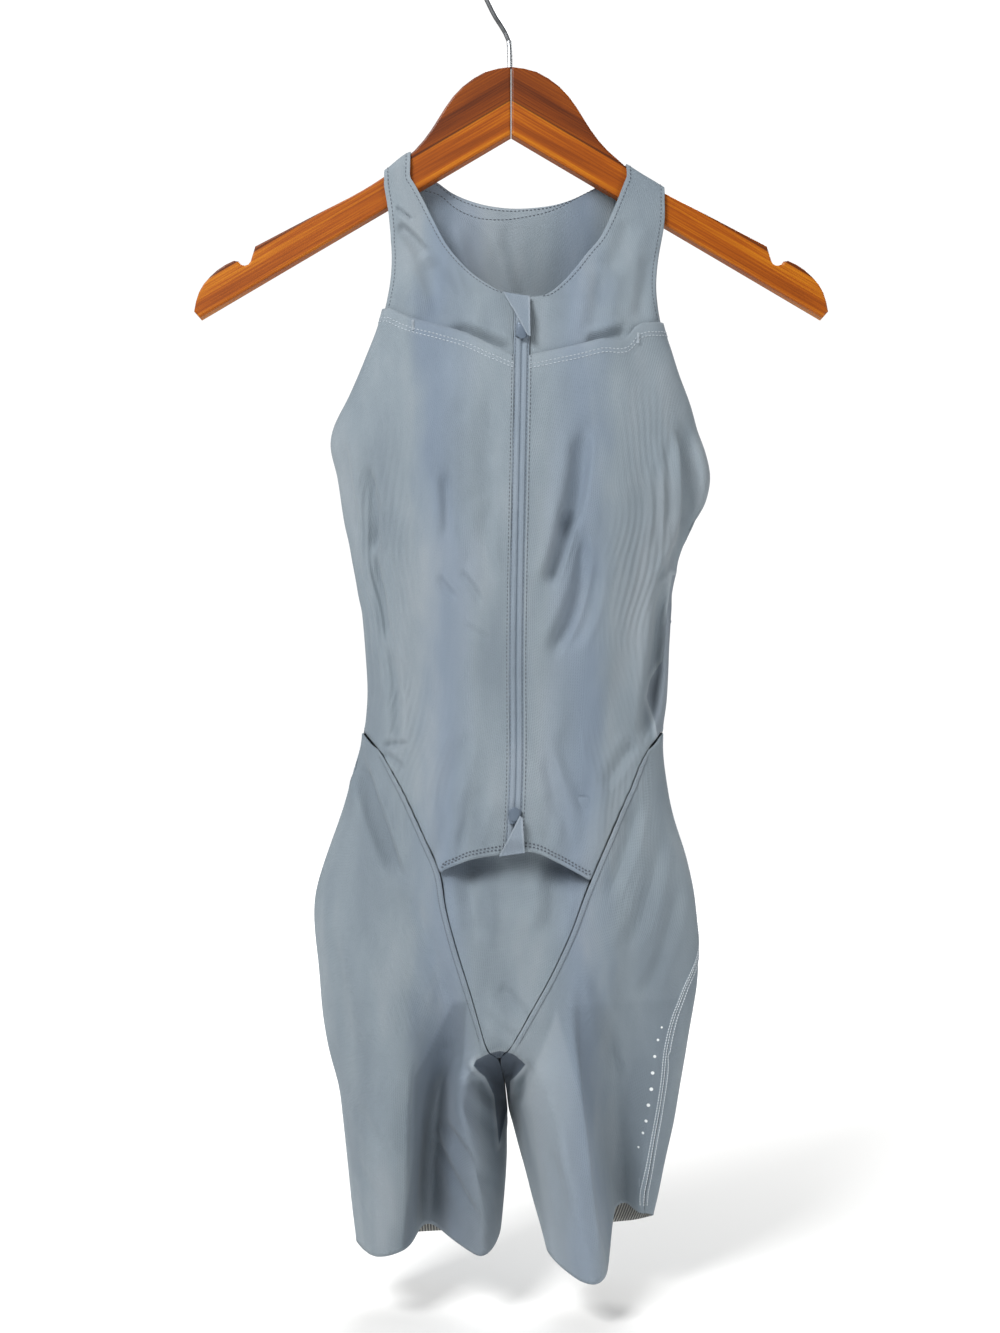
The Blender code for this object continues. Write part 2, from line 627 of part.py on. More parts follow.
def crotch_panel(u, v):
    """The front of the shorts between the two diagonal seams; u runs left to right."""
    z_end = CROTCH_NARROWS - CROTCH_WRAP * 0.55
    z = z_end + (SHORTS_TOP - z_end) * v
    left = skin(-1, front_seam_q(-1, z), z)[0] + SEAM_V
    right = skin(1, front_seam_q(1, z), z)[0] - SEAM_V
    x = left + (right - left) * u
    under = LAYER + SHORTS_SINK * (4 * u * (1 - u)) * between(-SHORTS_TOP, -z, 640)
    return front(x, z, -under * (1 - between(660, -z, 690)))


def zip_strip(u, v):
    z = ZIP_END + (ZIP_TOP - ZIP_END) * v
    x = centre(z) + TAPE_HALF * (2 * u - 1)
    return front(x, z, hem_flare(x, z) + STRIP_PROUD)


def flap(top, bottom, high, u, v):
    """A flat tab given by its upper and lower edges; high is its lift at both."""
    x = bottom[0] + (bottom[1] - bottom[0]) * u
    x += (top[0] + (top[1] - top[0]) * u - x) * v
    z = bottom[2] + (bottom[3] - bottom[2]) * u
    z += (top[2] + (top[3] - top[2]) * u - z) * v
    rise = between(0, v if high[0] > high[1] else 1 - v, 0.5)
    lift = min(high) + (max(high) - min(high)) * rise
    middle = centre(z)
    return x, front(middle, z, STRIP_PROUD + WALL + lift + hem_flare(middle, z))[1], z


def turned(place, side, turn):
    """A place on one side of the garment, with u turned round where turn is positive."""
    if turn < 0:
        return lambda u, v: place(side, u, v)
    return lambda u, v: place(side, 1 - u, v)


def station(share, count, edge):
    """A grid line's place, where the first and the last cell are narrow, so that a wall's edge
    stands square on the skin."""
    line = round(share * (count + 2))
    if line in (0, count + 2):
        return float(line > 0)
    return min(1 - edge, max(edge, (line - 1) / count))


def cloth(name, columns, rows, place, wall=WALL, behind=0.0, edges=EDGE_CELLS):
    """A cloth piece: a grid laid on its place, with a wall that far behind it."""
    mesh = bpy.data.meshes.new(name)
    bm = bmesh.new()
    bmesh.ops.create_grid(bm, x_segments=columns + 2, y_segments=rows + 2, size=1.0)
    for vert in bm.verts:
        u = station((vert.co.x + 1) / 2, columns, edges[0])
        v = station((vert.co.y + 1) / 2, rows, edges[1])
        vert.co = [value * MM for value in place(u, v)]
    bm.to_mesh(mesh)
    bm.free()
    piece = bpy.data.objects.new(name, mesh)
    solidify = piece.modifiers.new("wall", "SOLIDIFY")
    solidify.thickness = wall * MM
    solidify.offset = -1.0 - 2 * behind / wall
    return finish(piece, CLOTH_COLOUR)


def slider(name, z):
    """A zip slider's body with rounded edges, flat on the strip."""
    bpy.ops.mesh.primitive_cube_add(size=1)
    piece = bpy.context.object
    piece.name = name
    width, thick, height = SLIDER
    stand = hem_flare(centre(z), z) + STRIP_PROUD + 0.5 + thick / 2
    y = front(centre(z), z, stand)[1]
    for vert in piece.data.vertices:
        vert.co = [vert.co.x * width * MM, vert.co.y * thick * MM, vert.co.z * height * MM]
    piece.location = (centre(z) * MM, y * MM, z * MM)
    piece.rotation_euler.x = strip_lean(z)
    bevel = piece.modifiers.new("edges", "BEVEL")
    bevel.width = 1.2 * MM
    bevel.segments = 2
    return finish(piece, METAL_COLOUR, 0.5)


def strip_lean(z):
    """The strip's slope at a height, about X."""
    low, high = zip_point(z - 6), zip_point(z + 6)
    return -math.atan2(high[1] - low[1], high[2] - low[2])


def zip_point(z):
    return front(centre(z), z, hem_flare(centre(z), z))


def arm_outline(side):
    """One arm seen from the front: bell, notch for straps, round end and straight underside."""
    rise = [along(ARM_TOP, n / 24) for n in range(25)]
    notch_x, notch_z = NOTCH
    bite = [(notch_x + 4.5 * math.sin(a), notch_z - 4.5 + 4.5 * math.cos(a))
            for a in [math.radians(-110 - 35 * n) for n in range(5)]]
    end = [along(ARM_ROUND, n / 8) for n in range(9)]
    low = [(x, UNDERSIDE_TOP + UNDERSIDE_SLOPE * x) for x in (150, 90, 40, 0)]
    points = [*rise, *bite, *end, *low]
    return [(side * max(x, SEAM), z) for x, z in points]


def hanger_arm(name, side):
    curve = bpy.data.curves.new(name, "CURVE")
    curve.dimensions = "2D"
    curve.fill_mode = "BOTH"
    curve.extrude = (WOOD_THICK / 2 - WOOD_BEVEL) * MM
    curve.bevel_depth = WOOD_BEVEL * MM
    curve.bevel_resolution = 1
    curve.offset = -WOOD_BEVEL * MM
    points = arm_outline(side)
    spline = curve.splines.new("POLY")
    spline.points.add(len(points) - 1)
    for point, (x, z) in zip(spline.points, points):
        point.co = (x * MM, z * MM, 0.0, 1.0)
    spline.use_cyclic_u = True
    arm = bpy.data.objects.new(name, curve)
    arm.rotation_euler.x = math.pi / 2
    weld = arm.modifiers.new("weld", "WELD")
    weld.merge_threshold = 0.00001
    return finish(arm, WOOD_COLOUR, 0.35)


def hook():
    """The wire: its stem, its bends and the open ring that hangs on a rail."""
    top = WIRE / 2
    ring_z = top - HOOK_RADIUS
    turns = [math.radians(180 - 8 * n) for n in range(HOOK_STEPS)]
    ring = [(HOOK_RADIUS * math.cos(a), ring_z + HOOK_RADIUS * math.sin(a)) for a in turns]
    line = [along(STEM, n / 12) for n in range(12)] + ring
    curve = bpy.data.curves.new("hanger_hook", "CURVE")
    curve.dimensions = "3D"
    curve.bevel_depth = WIRE / 2 * MM
    curve.bevel_resolution = 2
    curve.use_fill_caps = True
    spline = curve.splines.new("POLY")
    spline.points.add(len(line) - 1)
    for point, (x, z) in zip(spline.points, line):
        point.co = (x * MM, 0.0, z * MM, 1.0)
    wire = bpy.data.objects.new("hanger_hook", curve)
    weld = wire.modifiers.new("weld", "WELD")
    weld.merge_threshold = 0.00001
    return finish(wire, STEEL_COLOUR, 0.3, 1.0)


def finish(piece, colour, roughness=0.8, metallic=0.0):
    """Puts a piece in the collection and gives it its material."""
    for other in list(piece.users_collection):
        other.objects.unlink(piece)
    bpy.data.collections["running_one_piece"].objects.link(piece)
    material = bpy.data.materials.new(piece.name)
    material.use_nodes = True
    shader = material.node_tree.nodes["Principled BSDF"]
    shader.inputs["Base Color"].default_value = (*colour, 1.0)
    shader.inputs["Roughness"].default_value = roughness
    shader.inputs["Metallic"].default_value = metallic
    piece.data.materials.append(material)
    if piece.type == "MESH":
        piece.data.shade_smooth()
    return piece


def main():
    for thing in list(bpy.data.objects):
        bpy.data.objects.remove(thing)
    bpy.context.scene.collection.children.link(bpy.data.collections.new("running_one_piece"))
    for side, name in ((-1, "left"), (1, "right")):
        cloth("yoke_" + name, 7, 20, turned(yoke_front, side, side))
        cloth("body_" + name, BODY_COLUMNS, 16, turned(body_front, side, side))
        cloth("leg_front_" + name, FRONT_COLUMNS, LEG_ROWS, turned(leg_front, side, side))
        cloth("leg_back_" + name, BACK_COLUMNS, LEG_ROWS, turned(leg_back, side, -side))
        cloth("grip_" + name, FRONT_COLUMNS + BACK_COLUMNS, GRIP_ROWS, turned(grip, side, side),
              GRIP_WALL, WALL + GRIP_CLEAR, GRIP_EDGES)
        hanger_arm("hanger_arm_" + name, side)
    cloth("back_body", 14, 18, back_body)
    cloth("crotch_panel", 10, 11, crotch_panel)
    cloth("zip", 2, 22, zip_strip)
    slider("zip_slider_top", TOP_SLIDER_Z)
    slider("zip_slider_end", END_SLIDER_Z)
    cloth("zip_guard_top", 2, 5, functools.partial(flap, *TOP_FLAP))
    cloth("zip_guard_end", 2, 5, functools.partial(flap, *END_FLAP))
    hook()


main()
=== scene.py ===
"""The looks of a sleeveless running one-piece that hangs on a flat wooden hanger.

Sizes are in millimetres up to the point where a mesh is made. +X is the viewer's right, -Y the
front and +Z up. The cloth is one smooth skin, the same as in the part's source: a point on it is
named by its side (-1 left or +1 right, as seen), by q, which runs from 0 at the centre front over
1 at the side to 2 at the centre back, and by its height z. Each cut piece is a fine sheet on that
skin with its creases, its seam allowances and its stitching.
"""

import functools
import math
from collections import namedtuple

import bpy
import numpy as np
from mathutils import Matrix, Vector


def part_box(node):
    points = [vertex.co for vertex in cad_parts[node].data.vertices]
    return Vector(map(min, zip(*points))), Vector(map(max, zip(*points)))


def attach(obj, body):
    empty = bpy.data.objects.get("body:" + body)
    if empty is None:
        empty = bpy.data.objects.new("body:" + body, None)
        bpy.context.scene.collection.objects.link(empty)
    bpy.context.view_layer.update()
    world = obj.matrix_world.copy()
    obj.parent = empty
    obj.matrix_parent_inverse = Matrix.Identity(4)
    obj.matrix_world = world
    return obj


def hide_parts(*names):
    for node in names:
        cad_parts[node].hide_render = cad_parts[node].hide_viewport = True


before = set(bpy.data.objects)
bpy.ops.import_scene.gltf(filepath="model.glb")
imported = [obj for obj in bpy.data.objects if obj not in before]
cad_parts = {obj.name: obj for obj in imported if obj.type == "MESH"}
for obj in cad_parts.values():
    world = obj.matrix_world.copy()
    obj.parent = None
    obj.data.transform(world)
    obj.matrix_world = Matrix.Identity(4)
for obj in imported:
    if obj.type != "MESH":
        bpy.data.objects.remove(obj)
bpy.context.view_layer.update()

MM = 0.001

# Walls, seams and the order of the layers
WALL = 1.2                  # knitted cloth
GRIP_WALL = 0.8             # elastic inside each leg hem
SEAM = 0.2                  # half of the gap at a seam
SEAM_V = 0.45               # level gap from the diagonal seam to the pieces inside it
LAYER = 1.7                 # from one cloth's outer face to the next one's behind it

# The hanger: the underside of each arm is one straight line
UNDERSIDE_TOP = -141.6
UNDERSIDE_SLOPE = -0.588
UNDERSIDE_COSINE, UNDERSIDE_RUN = 0.862, 1.16   # of that slope, and its length for each step in x
GLUE_LINE = 21.0            # height of the glue line above the underside, square to it

# Heights that name the garment's lines
WAIST = -562.0              # where body, legs and seat meet at the side
KNOT = -573.0               # where that seam turns down into the front's diagonal seam
SHORTS_TOP = -605.0         # upper edge of the front panel behind the body's hem
FRONT_CROTCH = -783.0       # lower end of that panel's front face
BACK_CROTCH = -836.0        # where the legs part
HEM = -917.0                # a leg's hem, before the drop of each part of it
GRIP_CLEAR = 0.5            # between the hem's elastic and the leg's wall
GRIP_ROWS = 2               # its height in rows of a leg's grid
GRIP_END = 0.004            # share left free where its ends meet at the inner leg

# Body sections: silhouette, depth in front and behind, half of the armhole's open slit
Section = namedtuple("Section", "z left right front back slit")
BODY = [
    (-150, -91, 107, -9, 9, 9.0),
    (-172, -90, 107, -9, 9, 9.0),
    (-200, -86, 108, -13, 13, 9.0),
    (-230, -85, 104, -20, 18, 10.0),
    (-266, -90, 104, -29, 24, 12.0),
    (-300, -102, 114, -36, 29, 12.0),
    (-327, -114, 124, -41, 33, 9.0),
    (-356, -127, 133, -44, 36, 1.0),
    (-384, -122, 140, -46, 37, 0.0),
    (-412, -117, 130, -46, 36, 0.0),
    (-440, -112, 118, -44, 34, 0.0),
    (-497, -104, 112, -38, 30, 0.0),
    (-540, -102, 110, -34, 28, 0.0),
    (-567, -105, 107, -35, 30, 0.0),
    (-600, -114, 110, -38, 34, 0.0),
    (-640, -127, 119, -41, 40, 0.0),
    (-680, -138, 130, -40, 43, 0.0),
]

# The centre front in front view, down to where the legs part, and its depth below the waist,
# where it runs back under the crotch
CENTRE = [(-150, 9), (-300, 7), (-500, 3.4), (-600, 3), (-680, -2), (-735, -5), (-783, -9),
          (-810, -5), (-836, -2)]
SADDLE = [(-600, -38), (-680, -40), (-735, -36), (-783, -30), (-810, 8), (-836, 36)]

# Leg sections, from the inner leg outwards. The ridge is the inner thigh's front, the valley
# the long hollow, the bank its sharp side, the lobe the outer thigh.
Leg = namedtuple("Leg", "z outer outer_y lobe_x lobe_y bank_x bank_y valley_x valley_y"
                        " ridge_x ridge_y back")
LEG_SECTIONS = {-1: [
    (-600, -114, 0, -101, -17, -86, -25, -67, -31, -35, -36, 34),
    (-680, -138, 0, -122, -22, -104, -29, -78, -34, -42, -38, 43),
    (-735, -135, 0, -106, -36, -80, -37, -52, -31, -30, -36, 44),
    (-783, -129, 0, -92, -41, -68, -38, -45, -12, -24, -32, 42),
    (-810, -122, 0, -91, -43, -68, -37, -50, 0, -34, -30, 39),
    (-836, -119, 0, -91, -44, -69, -36, -54, 6, -29, -32, 36),
    (-880, -114, 0, -92, -45, -70, -36, -57, 12, -21, -36, 33),
    (-930, -109, 0, -90, -46, -71, -36, -58, 16, -22, -40, 32),
], 1: [
    (-600, 110, 0, 98, -15, 55, -32, 76, -26, 33, -35, 34),
    (-680, 130, 0, 114, -19, 64, -36, 88, -30, 38, -38, 43),
    (-735, 132, 1, 110, -18, 50, -38, 78, -27, 30, -40, 44),
    (-783, 124, 2, 104, -17, 48, -39, 70, -14, 22, -40, 42),
    (-810, 120, 4, 99, -13, 50, -41, 71, -6, 26, -44, 39),
    (-836, 116, 6, 98, -8, 52, -43, 72, 0, 29, -46, 36),
    (-880, 107, 10, 94, -1, 58, -46, 76, 8, 37, -51, 33),
    (-930, 97, 15, 88, 7, 65, -47, 78, 14, 47, -54, 34),
]}
# The inner leg's line below the crotch: z, x and y
INNER_LEG = {-1: [(-836, -2, 36), (-880, -4, 14), (-930, -10, -4)],
             1: [(-836, -2, 36), (-880, 12, 10), (-930, 27, -12)]}
LEG_ORDER = {-1: ("ridge", "valley", "bank", "lobe"), 1: ("ridge", "bank", "valley", "lobe")}
LEG_KNOTS = (0.0, 0.18, 0.36, 0.54, 0.74, 1.0, 1.25, 1.5, 1.78, 2.0)
LEG_FROM, LEG_FULL = -600.0, -690.0     # the body's sections give way to the legs' here

# Folds that a hand would feel: a trough's line in front view, its half width and depth
Fold = namedtuple("Fold", "name z_top z_end x_top x_mid x_end width depth")
FOLDS = [Fold(*row) for row in (
    ("right waist groove", -455, -566, 108, 102, 95, 5.5, 17.0),
    ("right chest", -345, -466, 50, 44, 26, 8.0, 5.0),
    ("right rib", -418, -512, 50, 51, 29, 7.0, 4.5),
    ("right underarm", -345, -428, 117, 127, 121, 6.0, 6.0),
    ("left side", -366, -530, -103, -94, -82, 7.0, 5.0),
    ("left chest", -376, -436, -46, -40, -32, 7.0, 3.5),
    ("left yoke", -200, -278, -78, -58, -40, 8.0, 3.0),
    ("left hip", -572, -662, -104, -98, -74, 7.0, 5.0),
    ("right hem", -600, -650, 36, 38, 42, 6.0, 3.0),
    ("left hem", -600, -650, -30, -32, -36, 6.0, 3.0),
)]

# Seams and edges in front view, x and z. What differs by side is keyed by it
V_SEAM = {
    -1: [(-104, -562), (-93, -573), (-80, -593), (-69, -614), (-58, -637), (-49, -658),
         (-45.5, -679), (-37, -712), (-28, -741), (-22, -762), (-15.5, -783)],
    1: [(106, -562), (96, -573), (82, -602), (69, -630), (60, -650), (52, -669), (41, -698),
        (27, -728), (11, -757), (-3.5, -783)],
}
FRONT_HEM = [(-49, -656), (-28, -647.5), (-8, -644), (9, -642), (18, -643.4), (33, -650),
             (55, -663)]
HEM_CORNER = {-1: FRONT_HEM[0], 1: FRONT_HEM[-1]}
POCKET = {
    -1: [(-90, -266), (-75, -273), (-50.5, -280), (-26.5, -288), (-10, -296), (3, -302)],
    1: [(12, -302), (42.5, -295), (59, -290.5), (80, -287), (86, -281), (105, -276)],
}
NECK = {
    -1: [(-70.8, -172), (-63, -186), (-53.6, -205), (-45.3, -221), (-34, -236), (-21.6, -247),
         (-5.7, -256.5), (2.6, -258.5)],
    1: [(81, -172), (74, -190), (67.3, -206), (61.7, -217), (53, -227.5), (42, -242), (33.7, -251),
        (22, -259), (12.8, -259.5)],
}
BACK_NECK = [(-70.8, -167.4), (-52, -172), (-45, -177), (-25, -185.5), (-5, -189), (15, -189),
             (35, -186), (50, -180.5), (62, -174.5), (81, -167.4)]
BACK_ARMHOLE = {
    -1: [(-90, -172), (-81, -205), (-78, -240), (-84, -280), (-101, -322), (-127, -356)],
    1: [(107, -184), (99, -205), (94, -240), (100, -280), (114, -322), (133, -356)],
}
RIGHT_LEG_SEAM = [(130, -714), (122, -742), (114.5, -760), (109.5, -780), (107, -806),
                  (104, -829), (100, -854), (95, -887), (93, -900), (92, -930)]
LEFT_SIDE_SEAM = 1.08       # q of the left leg's outer seam, just behind the side
RIGHT_SIDE_SEAM = 1.04      # and of the right one's upper end
POCKET_LAP = 26.0           # how far the yoke runs on behind the body's upper hem
POCKET_LEVEL = -285.0       # a height near that hem

# The drop of a leg's hem below HEM, by q
HEM_DROP = {
    -1: [(0.0, -6), (0.18, 2), (0.36, -3), (0.74, 0), (1.0, 3), (1.5, 7), (2.0, -6)],
    1: [(0.0, 6), (0.18, 14), (0.36, 12), (0.54, -16), (0.74, -15), (1.0, -10), (1.5, 2),
        (2.0, 6)],
}

# The zip
TAPE_HALF = 4.8             # half of the covered strip between the body's edges
ZIP_TOP, ZIP_END = -262.0, -640.5

# How the layers stand off each other
HEM_FLARE = 3.0             # the body's free front hem
POCKET_GAPE = 2.0           # the body's upper hem, which is the pockets' mouth
FOLD_CLEAR = 5.0            # what a fold leaves free in front of the cloth behind it
LAP_EASE = (18.0, 70.0)     # heights above the body's upper hem between which the yoke comes out
SHORTS_SINK = 7.0           # the shorts' front panel behind the body's hem
CROTCH_NARROWS = -779.0     # where that panel begins to turn under the crotch
CROTCH_WRAP = 18.0          # height in which its side edges then run together
SIDE_GAP = 0.004            # q kept clear at the side seam
LEG_ROWS = 20
FRONT_COLUMNS, BACK_COLUMNS = 14, 12
CORNER_COLUMN = 8 / 13      # the grid line at the corner of a body piece's lower edge

# The straps: heights at the outer and inner edge where each turns over its arm, in front and
# behind, by side
STRAP_BASE = {-1: (-178.0, -172.0), 1: (-190.0, -172.0)}
STRAP_BACK = {-1: (-178.0, -167.0), 1: (-190.0, -167.0)}
STRAP_FROM = 0.6            # v of that turn
STRAP_RISE = 2.1            # from the wood to the strap's outer face, upright, on the slope
STRAP_HUMP = 2.5            # how much further its outer edge stands off
STRAP_SQUARE = 0.5          # power that makes the turn follow the arm's square section
YOKE_ZIP_SHARE = 0.34       # share of a yoke's inner edge that runs along the zip
STRAP_SHARE = 0.14          # share of the back's upper edge at each strap

# The zip's two guards: upper and lower edge as x, x, z, z, and their lift at both
TOP_FLAP = ((-5.7, 13.0, -257.0, -260.0), (11.0, 13.0, -289.0, -290.0), (0.4, 4.9))
END_FLAP = ((5.6, 7.6, -617.0, -618.5), (-8.4, 9.2, -645.0, -642.5), (4.9, 0.4))
STRIP_PROUD = 0.3

# The hanger's upper edge on one side, x and z
ARM_TOP = [(0, -93.6), (16.5, -96.5), (25, -100.8), (33.5, -107), (42, -116), (50.5, -129),
           (59, -142), (67.5, -152), (76, -159.5), (88, -170), (101, -178.5), (140, -199),
           (180, -220)]


def between(low, value, high):
    """0 below low, 1 above high, and a smooth rise between."""
    t = min(1.0, max(0.0, (value - low) / (high - low)))
    return t * t * (3 - 2 * t)


def curve_at(keys, values, key, ends=None):
    """The value at a key on a smooth curve through the rows, held at both ends; ends gives the
    slopes there."""
    if keys[0] > keys[-1]:
        keys, values = keys[::-1], values[::-1]
    if key <= keys[0]:
        return values[0]
    if key >= keys[-1]:
        return values[-1]
    i = max(n for n in range(len(keys) - 1) if keys[n] <= key)
    span = keys[i + 1] - keys[i]
    t = (key - keys[i]) / span

    def slope(n):
        if n in (0, len(keys) - 1):
            if ends:
                return ends[n > 0]
            other = 1 if n == 0 else n - 1
            return (values[other] - values[n]) / (keys[other] - keys[n])
        before, after = keys[n] - keys[n - 1], keys[n + 1] - keys[n]
        rise = (values[n] - values[n - 1]) / before * after
        return (rise + (values[n + 1] - values[n]) / after * before) / (before + after)

    a, b, c = t * t * (3 - 2 * t), t * (1 - t) ** 2, t * t * (t - 1)
    return values[i] * (1 - a) + values[i + 1] * a + span * (slope(i) * b + slope(i + 1) * c)


def table_at(table, key, column=1):
    """One column of a table, read at a value of its first."""
    return curve_at([row[0] for row in table], [row[column] for row in table], key)


@functools.lru_cache(maxsize=None)
def body_row(z):
    return Section(z, *(table_at(BODY, z, n) for n in range(1, len(Section._fields))))


def body_edge(side, z):
    """x of the body's outline on one side."""
    row = body_row(z)
    return row.left if side < 0 else row.right


@functools.lru_cache(maxsize=None)
def leg_row(side, z):
    return Leg(z, *(table_at(LEG_SECTIONS[side], z, n) for n in range(1, len(Leg._fields))))


@functools.lru_cache(maxsize=None)
def centre(z):
    return table_at(CENTRE, z)


def inner_leg(side, z):
    """x and y of the centre front, then of the inner leg."""
    if z > BACK_CROTCH:
        return centre(z), table_at(SADDLE, z)
    return (table_at(INNER_LEG[side], z, n) for n in (1, 2))


def body_point(side, q, z):
    """x and y of the body's lens-shaped section."""
    row = body_row(z)
    x = centre(z) + (body_edge(side, z) - centre(z)) * math.sin(math.pi * q / 2)
    fullness = abs(math.cos(math.pi * q / 2))
    if q <= 1:
        return x, -row.slit + (row.front + row.slit) * fullness
    return x, row.slit + (row.back - row.slit) * fullness


@functools.lru_cache(maxsize=None)
def leg_ring(side, z):
    """The corner points and end tangents of one leg's section."""
    row = leg_row(side, z)
    front = [(getattr(row, name + "_x"), getattr(row, name + "_y")) for name in LEG_ORDER[side]]
    inner_x, inner_y = inner_leg(side, z)
    end_y = inner_y if z < BACK_CROTCH else row.back
    width = inner_x - row.outer
    behind = [(row.outer + 0.13 * width, 0.72 * row.back), (row.outer + 0.46 * width, row.back),
              (row.outer + 0.82 * width, 0.55 * row.back + 0.45 * end_y)]
    points = [(inner_x, inner_y), *front, (row.outer, row.outer_y), *behind, (inner_x, end_y)]
    under = math.pi / 2 * between(-FRONT_CROTCH, -z, -BACK_CROTCH)
    past = math.pi / 2 * between(-BACK_CROTCH, -z, -BACK_CROTCH + 34)
    start = (side * 150 * math.cos(under), -150 * math.sin(under))
    end = (-side * 150 * math.cos(past), -110 * math.sin(past))
    return points, start, end


def leg_point(side, q, z):
    points, start, end = leg_ring(side, z)
    return tuple(curve_at(LEG_KNOTS, [point[n] for point in points], q, (start[n], end[n]))
                 for n in (0, 1))


def fold_depth(x, z):
    """How far the front is pushed back by the folds at one place."""
    depth = 0.0
    for fold in FOLDS:
        t = (fold.z_top - z) / (fold.z_top - fold.z_end)
        if not 0 < t < 1:
            continue
        line = fold.x_top * (1 - t) ** 2 + fold.x_end * t * t
        line += (4 * fold.x_mid - fold.x_top - fold.x_end) * t * (1 - t)
        along = math.sin(math.pi * t) ** 0.7
        depth += fold.depth * along * math.exp(-((x - line) / fold.width) ** 2)
    return depth


def smooth_skin(side, q, z):
    """x and y of the skin without its folds."""
    weight = between(-LEG_FROM, -z, -LEG_FULL)
    x, y = body_point(side, q, z) if weight < 1 else (0.0, 0.0)
    if weight > 0:
        leg_x, leg_y = leg_point(side, q, z)
        x, y = x + (leg_x - x) * weight, y + (leg_y - y) * weight
    return x, y


@functools.lru_cache(maxsize=None)
def bare_skin(side, q, z):
    """x and y of the skin; a fold goes no deeper than the cloth behind it allows."""
    x, y = smooth_skin(side, q, z)
    depth = fold_depth(x, z) if q < 1 else 0.0
    if depth < 0.01:
        return x, y
    room = max(0.1, smooth_skin(side, 2 - q, z)[1] - y - FOLD_CLEAR)
    return x, y + room * math.tanh(depth / room)


def skin(side, q, z, lift=0.0):
    """A point of the skin in millimetres, lifted outwards within its level section."""
    x, y = bare_skin(side, q, z)
    if lift:
        low, high = max(0.0, q - 0.01), min(2.0, q + 0.01)
        a, b = bare_skin(side, low, z), bare_skin(side, high, z)
        step = math.dist(a, b) or 1.0
        x += side * lift * (b[1] - a[1]) / step
        y -= side * lift * (b[0] - a[0]) / step
    return x, y, z


def skin_q(x, z):
    """The side and q at which the front skin passes x at one height."""
    middle = skin(1, 0.0, z)[0]
    side = 1 if x > middle else -1
    low, high = 0.0, 1.0
    for _ in range(24):
        half = (low + high) / 2
        if (skin(side, half, z)[0] - x) * side < 0:
            low = half
        else:
            high = half
    return side, (low + high) / 2


def front(x, z, lift=0.0):
    side, q = skin_q(x, z)
    return skin(side, q, z, lift)


def inset(side, q, z, distance):
    """q moved outwards along its level section by a distance."""
    speed = math.dist(bare_skin(side, q, z), bare_skin(side, q + 0.005, z)) / 0.005
    return q + distance / max(20.0, speed)


def line_x(line, z):
    return curve_at([p[1] for p in line], [p[0] for p in line], z)


def along(line, t):
    """The point at a share t of a line's length."""
    steps = [math.dist(a, b) for a, b in zip(line, line[1:])]
    sums = [sum(steps[:n]) for n in range(len(line))]
    keys = [s / sums[-1] for s in sums]
    return tuple(curve_at(keys, [p[n] for p in line], t) for n in (0, 1))


def patch(left, right, top, bottom, s, t):
    """A four-sided patch: s from left to right, t from bottom to top."""
    a, b, c, d = left(t), right(t), bottom(s), top(s)
    corners = (bottom(0), bottom(1), top(0), top(1))
    return tuple((1 - s) * a[n] + s * b[n] + (1 - t) * c[n] + t * d[n]
                 - (1 - s) * (1 - t) * corners[0][n] - s * (1 - t) * corners[1][n]
                 - (1 - s) * t * corners[2][n] - s * t * corners[3][n] for n in (0, 1))


# The pieces' places: each takes u and v, 0 to 1, and gives millimetres. Seen from outside the
# garment, u runs to the right and v up.

def hem_flare(x, z):
    """How far the body's free front hem stands off what is behind it."""
    left, right = line_x(V_SEAM[-1], z), line_x(V_SEAM[1], z)
    half, middle = max(10.0, (right - left) / 2), (right + left) / 2
    return HEM_FLARE * between(590, -z, 645) * max(0.0, 1 - ((x - middle) / half) ** 2)


def pocket_gape(x, z, line):
    """How far the body's upper hem stands off the yoke, most at half its length."""
    share = min(1.0, max(0.0, (x - line[0][0]) / (line[-1][0] - line[0][0])))
    near = between(-40, z - table_at(line, x), 0)
    return POCKET_GAPE * near * math.sin(math.pi * share)


def body_share_q(side, share, z):
    """q at a share of the way from the side seam to the zip."""
    return 1 - SIDE_GAP - (1 - SIDE_GAP - zip_q(side, z)) * share


def body_share_x(side, share, z):
    return skin(side, body_share_q(side, share, z), z)[0]


@functools.lru_cache(maxsize=None)
def zip_q(side, z):
    """q of a body piece's edge at the zip."""
    return skin_q(centre(z) + side * (TAPE_HALF + SEAM), z)[1]


@functools.lru_cache(maxsize=None)
def body_low_edge(side, share):
    """The height of a body piece's lower edge: the diagonal seam, then the free hem."""
    seam = V_SEAM[side]
    if share > hem_corner_share(side):
        return table_at(FRONT_HEM, body_share_x(side, share, HEM_CORNER[side][1]))
    low, high = seam[-1][1], WAIST
    for _ in range(20):
        z = (low + high) / 2
        x = body_share_x(side, share, z)
        low, high = (low, z) if (line_x(seam, z) - x) * side > SEAM_V else (z, high)
    return z + SEAM


@functools.lru_cache(maxsize=None)
def hem_corner_share(side):
    """The share at which a body piece's diagonal seam meets its free hem."""
    corner = HEM_CORNER[side]
    low, high = 0.0, 1.0
    for _ in range(20):
        share = (low + high) / 2
        x = body_share_x(side, share, corner[1])
        low, high = (share, high) if (corner[0] - x) * side < 0 else (low, share)
    return share


